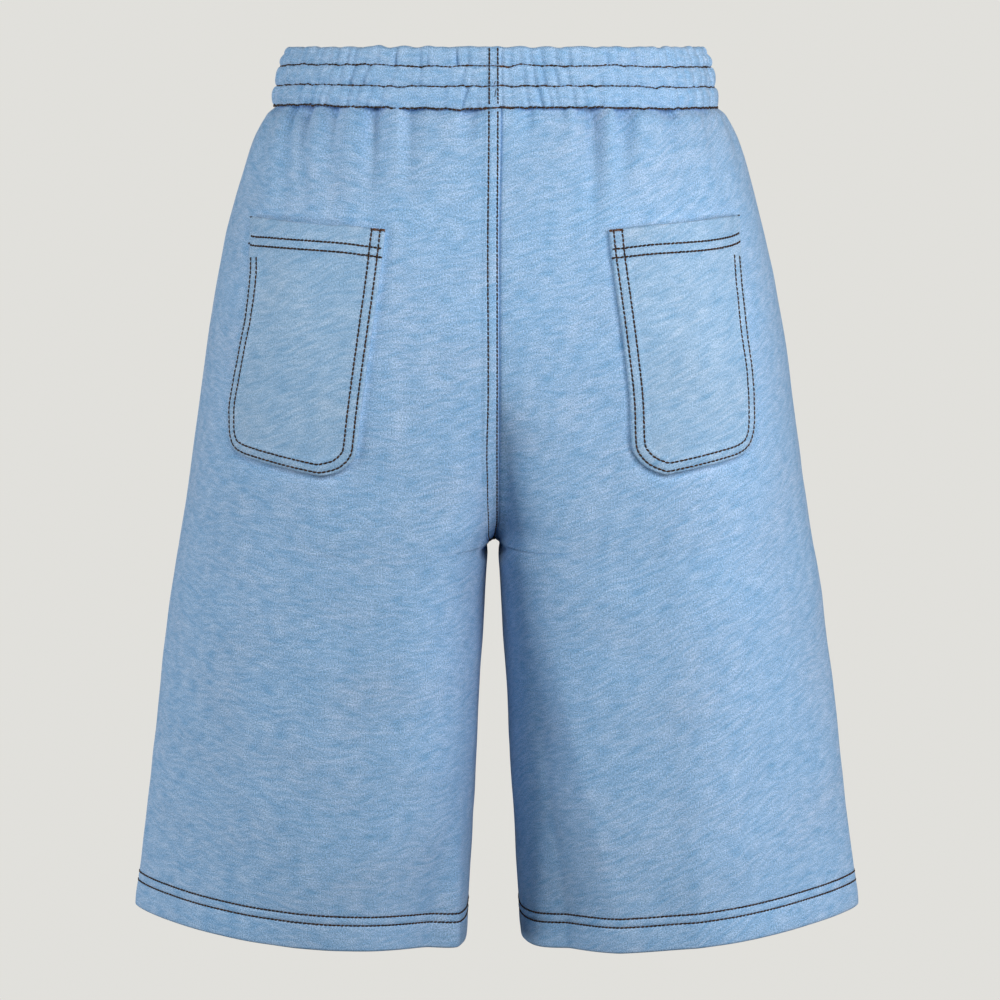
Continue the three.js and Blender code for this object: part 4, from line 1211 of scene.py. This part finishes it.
def knit(name, dark, light, warm, rough=0.92, sheen=0.18, seed=0.0, fleck=1.0, loops=1.0):
    """Heather sweatshirt knit: flecks along the courses, slow drift, fine loops."""
    g = Nodes(name)
    uv = g.node("ShaderNodeUVMap", uv_map="cloth").outputs[0]
    mm = g.shift(g.scale(uv, (1000.0, 1000.0, 0.0)), (seed, seed * 0.7, 0.0))
    # the courses wander a little
    sway = g.math("MULTIPLY", g.math("SUBTRACT", g.noise(g.scale(mm, (1 / 26, 1 / 40, 0)), 1.0), 0.5), 7.0)
    bend = g.node("ShaderNodeCombineXYZ")
    g.link(sway, bend.inputs[1])
    mm = g.shift(mm, bend.outputs[0])
    short = g.noise(g.scale(mm, (1 / 3.4, 1 / 0.95, 0)), 1.0, 0.55)
    long = g.noise(g.scale(mm, (1 / 9.5, 1 / 2.3, 0)), 0.6, 0.5)
    patch = g.noise(g.scale(mm, (1 / 15, 1 / 8.5, 0)), 1.0, 0.5)
    drift = g.noise(g.scale(mm, (1 / 60, 1 / 42, 0)), 2.0, 0.5)
    grain = g.noise(g.scale(mm, (1 / 0.85, 1 / 0.8, 0)), 0.0)
    parts = [(short, 0.05), (long, 0.78), (patch, 0.52)]
    total = None
    for value, weight in parts:
        term = g.math("MULTIPLY", g.math("SUBTRACT", value, 0.5), weight * fleck)
        total = term if total is None else g.math("ADD", total, term)
    heather = g.math("ADD", total, 0.5, clamp=True)
    colour = g.mix(heather, dark, light)
    # slow drift between a greyer and a clearer blue
    slow = g.math("MULTIPLY", g.math("SUBTRACT", drift, 0.38), 1.7, clamp=True)
    colour = g.mix(slow, colour, g.mix(heather, tuple(a * b for a, b in zip(dark, warm)), tuple(a * b for a, b in zip(light, warm))))
    # loops of the knit, wales 1.5 mm apart
    part = g.node("ShaderNodeSeparateXYZ")
    wobble = g.math("MULTIPLY", g.noise(g.scale(mm, (1 / 4.0, 1 / 3.0, 0)), 0.0), 1.6)
    g.link(mm, part.inputs[0])
    across = g.math("SINE", g.math("MULTIPLY", g.math("ADD", part.outputs[0], wobble), 2 * math.pi / 1.55))
    downwards = g.math("SINE", g.math("MULTIPLY", g.math("ADD", part.outputs[1], wobble), 2 * math.pi / 1.35))
    dots = g.math("MULTIPLY", g.math("MULTIPLY", across, downwards), 0.5)
    fine = g.math("ADD", g.math("MULTIPLY", dots, 0.12 * loops), g.math("MULTIPLY", g.math("SUBTRACT", grain, 0.5), 0.85 * loops))
    fine = g.math("ADD", fine, g.math("MULTIPLY", g.math("SUBTRACT", short, 0.5), 0.20 * loops))
    tone = g.node("ShaderNodeMix", data_type="RGBA", blend_type="MULTIPLY")
    tone.inputs[0].default_value = 1.0
    g.link(colour, tone.inputs[6])
    grey = g.node("ShaderNodeCombineColor")
    for k, share in enumerate((1.20, 1.0, 0.86)):
        g.link(g.math("ADD", g.math("MULTIPLY", fine, share), 1.0), grey.inputs[k])
    g.link(grey.outputs[0], tone.inputs[7])
    # relief of the loops and of the flecks
    height = g.math("ADD", g.math("MULTIPLY", dots, 0.5), g.math("ADD", g.math("MULTIPLY", grain, 0.9), g.math("MULTIPLY", long, 0.25)))
    bump = g.node("ShaderNodeBump")
    bump.inputs["Strength"].default_value = 0.35
    bump.inputs["Distance"].default_value = 0.00022
    g.link(height, bump.inputs["Height"])
    shader = g.node("ShaderNodeBsdfPrincipled")
    g.link(tone.outputs[2], shader.inputs["Base Color"])
    g.link(bump.outputs[0], shader.inputs["Normal"])
    shader.inputs["Roughness"].default_value = rough
    shader.inputs["Specular IOR Level"].default_value = 0.25
    shader.inputs["Sheen Weight"].default_value = sheen
    shader.inputs["Sheen Roughness"].default_value = 0.42
    shader.inputs["Sheen Tint"].default_value = (0.80, 0.90, 1.0, 1.0)
    out = g.node("ShaderNodeOutputMaterial")
    g.link(shader.outputs[0], out.inputs[0])
    return g.material


def thread(name, dark, bright, rough=0.6):
    """Twisted thread; the cloth layer's U is the tone of each stitch, V runs along it and carries a painted highlight
    along each stitch's middle and painted shade at its ends.
    """
    g = Nodes(name)
    uv = g.node("ShaderNodeUVMap", uv_map="cloth").outputs[0]
    part = g.node("ShaderNodeSeparateXYZ")
    g.link(g.scale(uv, (1000.0, 1000.0, 0.0)), part.inputs[0])
    # painted highlight and shade: each stitch is painted lighter along its middle and darker towards its ends, where it
    # dips into the cloth
    ends = g.math("ABSOLUTE", g.math("SUBTRACT", part.outputs[1], 0.5))
    lit = g.math("SUBTRACT", 1.0, g.math("MULTIPLY", ends, 1.9), clamp=True)
    ply = g.node("ShaderNodeTexNoise")
    place = g.node("ShaderNodeTexCoord")
    g.link(place.outputs["Object"], ply.inputs["Vector"])
    ply.inputs["Scale"].default_value = 2600.0
    ply.inputs["Detail"].default_value = 1.0
    tone = g.math("MULTIPLY", g.math("ADD", g.math("MULTIPLY", lit, 0.6), part.outputs[0]), g.math("ADD", ply.outputs["Fac"], 0.2))
    tone = g.math("MULTIPLY", tone, 0.9, clamp=True)
    colour = g.mix(tone, dark, bright)
    bump = g.node("ShaderNodeBump")
    bump.inputs["Strength"].default_value = 0.4
    bump.inputs["Distance"].default_value = 0.0001
    g.link(ply.outputs["Fac"], bump.inputs["Height"])
    shader = g.node("ShaderNodeBsdfPrincipled")
    g.link(colour, shader.inputs["Base Color"])
    g.link(bump.outputs[0], shader.inputs["Normal"])
    shader.inputs["Roughness"].default_value = rough
    shader.inputs["Specular IOR Level"].default_value = 0.3
    out = g.node("ShaderNodeOutputMaterial")
    g.link(shader.outputs[0], out.inputs[0])
    return g.material


DARK, LIGHT = (0.160, 0.368, 0.640), (0.427, 0.602, 0.840)
KNIT = knit("knit_heather", DARK, LIGHT, (1.16, 1.03, 0.98), seed=0.0)
POCKET_KNIT = knit("pocket_heather", (0.170, 0.358, 0.592), (0.420, 0.578, 0.775), (1.12, 1.03, 0.98), seed=37.0, loops=0.8)
BAND_KNIT = knit("waistband_heather", DARK, LIGHT, (1.12, 1.03, 0.98), seed=91.0, fleck=0.9)
THREAD = thread("thread_brown", (0.005, 0.004, 0.0035), (0.060, 0.028, 0.015))
RUST = thread("thread_rust", (0.016, 0.008, 0.005), (0.200, 0.080, 0.028))

# ------------------------------------------------------------------ pieces
PITCH, POCKET_PITCH = 2.7, 3.0


def add(name, thing, material, slot, node=None):
    thing.data.materials.append(material)
    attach(thing, "root")
    if node:
        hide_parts(node)
    return thing


POCKET = {side: Pocket(side) for side in POCKETS}
for side, pocket in POCKET.items():
    POCKET_GUTTERS[f"back_{side}"] = np.concatenate([pocket.offset(-1.5), np.repeat(pocket.mouth, 2, 0) - [0, 2.0]])

PANELS = {"back_left": (122, 1.8), "back_right": (122, 1.8), "front_left": (92, 2.3), "front_right": (92, 2.3)}
for node, (columns, pitch) in PANELS.items():
    verts, quads, tris, uv = panel_mesh(node, columns, pitch)
    add(node, make_mesh(f"cloth_{node}", verts, quads, tris, uv), KNIT, "knit", node)

verts, quads, uv = band_mesh()
add("waistband", make_mesh("cloth_waistband", verts, quads, np.zeros((0, 3), int), uv, per_corner=True),
    BAND_KNIT, "waistband_knit", "waistband")

for side, pocket in POCKET.items():
    verts, quads, uv = pocket.mesh()
    add(f"pocket_{side}", make_mesh(f"cloth_pocket_{side}", verts, quads, np.zeros((0, 3), int), uv),
        POCKET_KNIT, "pocket_knit", f"pocket_{side}")

# rows round the waistband
rng = np.random.default_rng(101)
band_rows, tacks = [], []


def band_row_path(k, lo, hi, lift=0.0, side_step=0.0):
    p = np.arange(lo, hi, 0.5)
    drop = ring_row(k, p) + side_step
    base, n, _s = ring_at(p, drop)
    base, n = base + n * (-1.12 + lift), n
    lowered = base.copy()
    return lowered, n


for k in range(3):
    c, a, n = place_row(band_row_path(k, 0.0, 2 * HALF_RING), PITCH, rng)
    c = c + np.array([0, 0, 1.0]) * rng.normal(0, 0.13, len(c))[:, None]
    band_rows.append(stitch_mesh(c + n * (0.7 if k == 2 else 0.36), a, n, 3.05, 1.40, rng, turn=0.10, spread=0.13))
for k, lo, hi in ((0, -8.1, 0.6), (0, 5.6, 7.6), (1, -5.8, 1.3), (2, -11.2, 1.0), (2, 4.6, 9.8),
                  (0, HALF_RING - 6, HALF_RING + 2), (1, HALF_RING - 5, HALF_RING + 2.5), (2, HALF_RING - 8, HALF_RING + 2)):
    for shift in (-0.28, 0.30):
        c, a, n = place_row(band_row_path(k, lo, hi, 0.42, shift), 1.7, rng)
        if len(c):
            tacks.append(stitch_mesh(c, a, n, 2.3, 0.8, rng, turn=0.0, spread=0.3))


def band_column_path(p, lo=1.2, hi=38.2):
    drop = np.arange(lo, hi, 0.3)
    q, n = band_point(np.full_like(drop, p), drop)
    slope = np.gradient(q, axis=0)
    t = unit(slope)
    n = unit(n - t * (n * t).sum(1)[:, None])
    return q, n


seam_rows = {"back": [], "front": []}
for face, places in (("back", (3.77, -1.55)), ("front", (HALF_RING - 2.0, HALF_RING - 7.5))):
    for p in places:
        c, a, n = place_row(band_column_path(p), PITCH, rng)
        seam_rows[face].append(stitch_mesh(c + n * 0.36, a, n, 2.85, 1.20, rng, turn=0.06))


def relief_normals(points, normals):
    t = unit(np.gradient(points, axis=0))
    return unit(normals - t * (normals * t).sum(1)[:, None])


for face in ("back", "front"):
    drops = SEAM_DROP[face](np.linspace(0.004, 0.985, 700))
    for row in (ROW_NEAR, ROW_FAR):
        q, n = panel_at(f"{face}_left", row(drops), drops)
        c, a, n = place_row((q, relief_normals(q, n)), PITCH, rng)
        seam_rows[face].append(stitch_mesh(c + n * 0.36, a, n, 2.85, 1.20, rng, turn=0.06))

# loose thread ends beside the centre back seam
for p, d0, d1 in ((0.4, 21.9, 24.4), (0.0, 27.0, 32.0)):
    q, n = band_point(np.full(20, p) + np.linspace(-0.4, 0.4, 20), np.linspace(d0, d1, 20))
    c, a, n = place_row((q + n * 0.35, n), 2.4, rng, jitter=0)
    seam_rows["back"].append(stitch_mesh(c, a, n, 2.9, 0.5, rng, turn=0.0))

# hems
hem_stitches = {"left": [], "right": []}
for side in hem_stitches:
    for face in ("back", "front"):
        share = np.linspace(0.002, 0.998, 1200)
        edge = hem_drop(face, share)
        for height in HEM_ROWS:
            drop = edge - height
            q, n = panel_at(f"{face}_{side}", share * FACES[face].reach_all(drop), drop)
            c, a, n = place_row((q, relief_normals(q, n)), PITCH, rng)
            hem_stitches[side].append(stitch_mesh(c + n * 0.38, a, n, 3.0, 1.32, rng, turn=0.09))

# pockets
pocket_stitches = {"left": [], "right": []}
for side, pocket in POCKET.items():
    for k, row in enumerate(pocket.rows):
        path = row
        # the inner side runs up to the mouth, the outer side starts under the hem
        hem_at = pocket.hem(path[:, 0]) + POCKET_HEM_GAP
        half = np.arange(len(path)) > len(path) / 2
        keep = ~(half & (path[:, 1] < hem_at + (6 if k == 0 else 4)))
        path = path[keep]
        q, n = pocket.at(path[:, 0], path[:, 1])
        c, a, n = place_row((q, relief_normals(q, n)), POCKET_PITCH, rng, start=0.8)
        pocket_stitches[side].append(stitch_mesh(c + n * 0.36, a, n, 3.15, 1.28, rng, turn=0.05))
    inner_x = np.interp(pocket.hem(70.0), pocket.path[:200, 1], pocket.path[:200, 0])
    outer_x = np.interp(0, [0, 1], [pocket.edge[2](0.7), 0])
    reach = np.linspace(inner_x + 1.0, pocket.edge[2](0.75) - 0.5, 500)
    for gap in (0, POCKET_HEM_GAP):
        q, n = pocket.at(reach, pocket.hem(reach) + gap)
        c, a, n = place_row((q, relief_normals(q, n)), PITCH, rng)
        pocket_stitches[side].append(stitch_mesh(c + n * 0.38, a, n, 3.0, 1.38, rng, turn=0.08))
    # bartack across the two inner rows at the mouth
    r0 = pocket.inner_corner[0] + (0.4 if side == "right" else 0.2)
    r1 = pocket.inner_corner[0] + 9.0
    reach = np.linspace(r0, r1, 60)
    top = np.interp(reach, [pocket.inner_corner[0], pocket.outer_corner[0]], [pocket.inner_corner[1], pocket.outer_corner[1]])
    for shift in (0.65, 1.35):
        q, n = pocket.at(reach, top + shift, 0.25)
        c, a, n = place_row((q, relief_normals(q, n)), 0.95, rng, jitter=0.2)
        tacks.append(stitch_mesh(c, a, n, 1.7, 0.62, rng, turn=0.5 if shift < 1 else -0.5, spread=0.25))
    # the last stitches of the outer row, at the corner of the mouth
    r = pocket.outer_corner[0] - 1.6
    q, n = pocket.at(np.linspace(r - 1.1, r + 0.9, 8), np.full(8, pocket.outer_corner[1] + 0.9), 0.2)
    c, a, n = place_row((q, relief_normals(q, n)), 0.9, rng)
    pocket_stitches[side].append(stitch_mesh(c, a, n, 1.8, 0.8, rng, turn=0.2))

threads = {
    "waist": (band_rows, THREAD), "centre_back": (seam_rows["back"], THREAD), "centre_front": (seam_rows["front"], THREAD),
    "hem_left": (hem_stitches["left"], THREAD), "hem_right": (hem_stitches["right"], THREAD),
    "pocket_left": (pocket_stitches["left"], THREAD), "pocket_right": (pocket_stitches["right"], THREAD),
    "bartacks": (tacks, RUST),
}
for name, (parts, material) in threads.items():
    verts, quads, tris, uv = join(parts)
    add(f"stitches_{name}", make_mesh(f"stitches_{name}", verts, quads, tris, uv * 1.0), material, "thread")


# ------------------------------------------------------------------ stage
PAPER = (0.752, 0.745, 0.713)
FLOOR_Z = -1.05


def floor():
    mesh = bpy.data.meshes.new("floor")
    work = bmesh.new()
    bmesh.ops.create_circle(work, cap_ends=True, radius=6.0, segments=128)
    work.to_mesh(mesh)
    work.free()
    thing = bpy.data.objects.new("floor", mesh)
    thing.location = (0, 0, FLOOR_Z)
    bpy.context.scene.collection.objects.link(thing)
    g = Nodes("floor_paper")
    place = g.node("ShaderNodeTexCoord")
    flat = g.node("ShaderNodeVectorMath", operation="LENGTH")
    g.link(place.outputs["Object"], flat.inputs[0])
    far = g.math("MULTIPLY", g.math("SUBTRACT", flat.outputs["Value"], 0.5), 0.8, clamp=True)
    glow = g.node("ShaderNodeEmission")
    glow.inputs[0].default_value = (*PAPER, 1)
    matte = g.node("ShaderNodeBsdfDiffuse")
    matte.inputs[0].default_value = (0.72, 0.715, 0.69, 1)
    share = g.math("ADD", g.math("MULTIPLY", far, 0.18), 0.82)
    both = g.node("ShaderNodeMixShader")
    g.link(share, both.inputs[0])
    g.link(matte.outputs[0], both.inputs[1])
    g.link(glow.outputs[0], both.inputs[2])
    out = g.node("ShaderNodeOutputMaterial")
    g.link(both.outputs[0], out.inputs[0])
    mesh.materials.append(g.material)
    # the paper's own glow is only the backdrop's: it adds no light to the cloth
    thing.visible_diffuse = False
    thing.visible_glossy = False
    return thing


floor()

scene = bpy.context.scene
scene.view_settings.view_transform = "Standard"
world = bpy.data.worlds.new("studio")
scene.world = world
world.use_nodes = True
tree = world.node_tree
tree.nodes.clear()
seen = tree.nodes.new("ShaderNodeBackground")
seen.inputs[0].default_value = (*PAPER, 1)
lit = tree.nodes.new("ShaderNodeBackground")
lit.inputs[0].default_value = (0.95, 0.98, 1.0, 1)
lit.inputs[1].default_value = 0.01
path = tree.nodes.new("ShaderNodeLightPath")
choose = tree.nodes.new("ShaderNodeMixShader")
end = tree.nodes.new("ShaderNodeOutputWorld")
tree.links.new(path.outputs["Is Camera Ray"], choose.inputs[0])
tree.links.new(lit.outputs[0], choose.inputs[1])
tree.links.new(seen.outputs[0], choose.inputs[2])
tree.links.new(choose.outputs[0], end.inputs[0])


def softbox(name, turn, rise, away, aim, size, power, colour=(1, 1, 1)):
    """A soft light on a sphere round a point of the middle line: turn and rise in degrees,
    turn 0 straight behind the garment and positive towards the wearer's right."""
    data = bpy.data.lights.new(name, "AREA")
    data.shape = "RECTANGLE"
    data.size, data.size_y = size
    data.energy = power
    data.color = colour
    turn, rise = math.radians(turn), math.radians(rise)
    way = Vector((-math.sin(turn) * math.cos(rise), math.cos(turn) * math.cos(rise), math.sin(rise)))
    thing = bpy.data.objects.new(name, data)
    thing.location = Vector((0, 0, aim)) + way * away
    thing.rotation_euler = (-way).to_track_quat("-Z", "Y").to_euler()
    scene.collection.objects.link(thing)
    return thing


softbox("key", 35, 20, 1.5, -0.05, (0.7, 0.7), 8.0, (1.0, 0.88, 0.80))
softbox("front", 0, 20, 1.5, -0.05, (0.7, 0.7), 8.4, (0.92, 1.0, 1.0))
softbox("low", 35, 5, 1.5, -0.35, (0.7, 0.7), 7.2, (0.94, 0.97, 1.0))
softbox("side", 75, 5, 1.5, -0.35, (0.7, 0.7), 5.0)
softbox("kick", -80, -10, 3.0, -0.27, (1.1, 0.5), 26.0)
softbox("edge", -75, 12, 3.0, -0.27, (1.1, 1.1), 14.5)
softbox("edge_far", -100, 12, 3.0, -0.27, (1.1, 1.1), 15.5)
softbox("rim", 105, 12, 3.0, -0.27, (1.1, 1.1), 5.1)

camera_data = bpy.data.cameras.new("camera")
camera_data.sensor_width = 36
camera_data.lens = 155.08
camera_data.clip_end = 50
camera = bpy.data.objects.new("camera", camera_data)
camera.location = (-0.0029, 2.8, 0.005)
camera.rotation_euler = (math.radians(90 - 5.68), 0, math.pi)
scene.collection.objects.link(camera)
scene.camera = camera
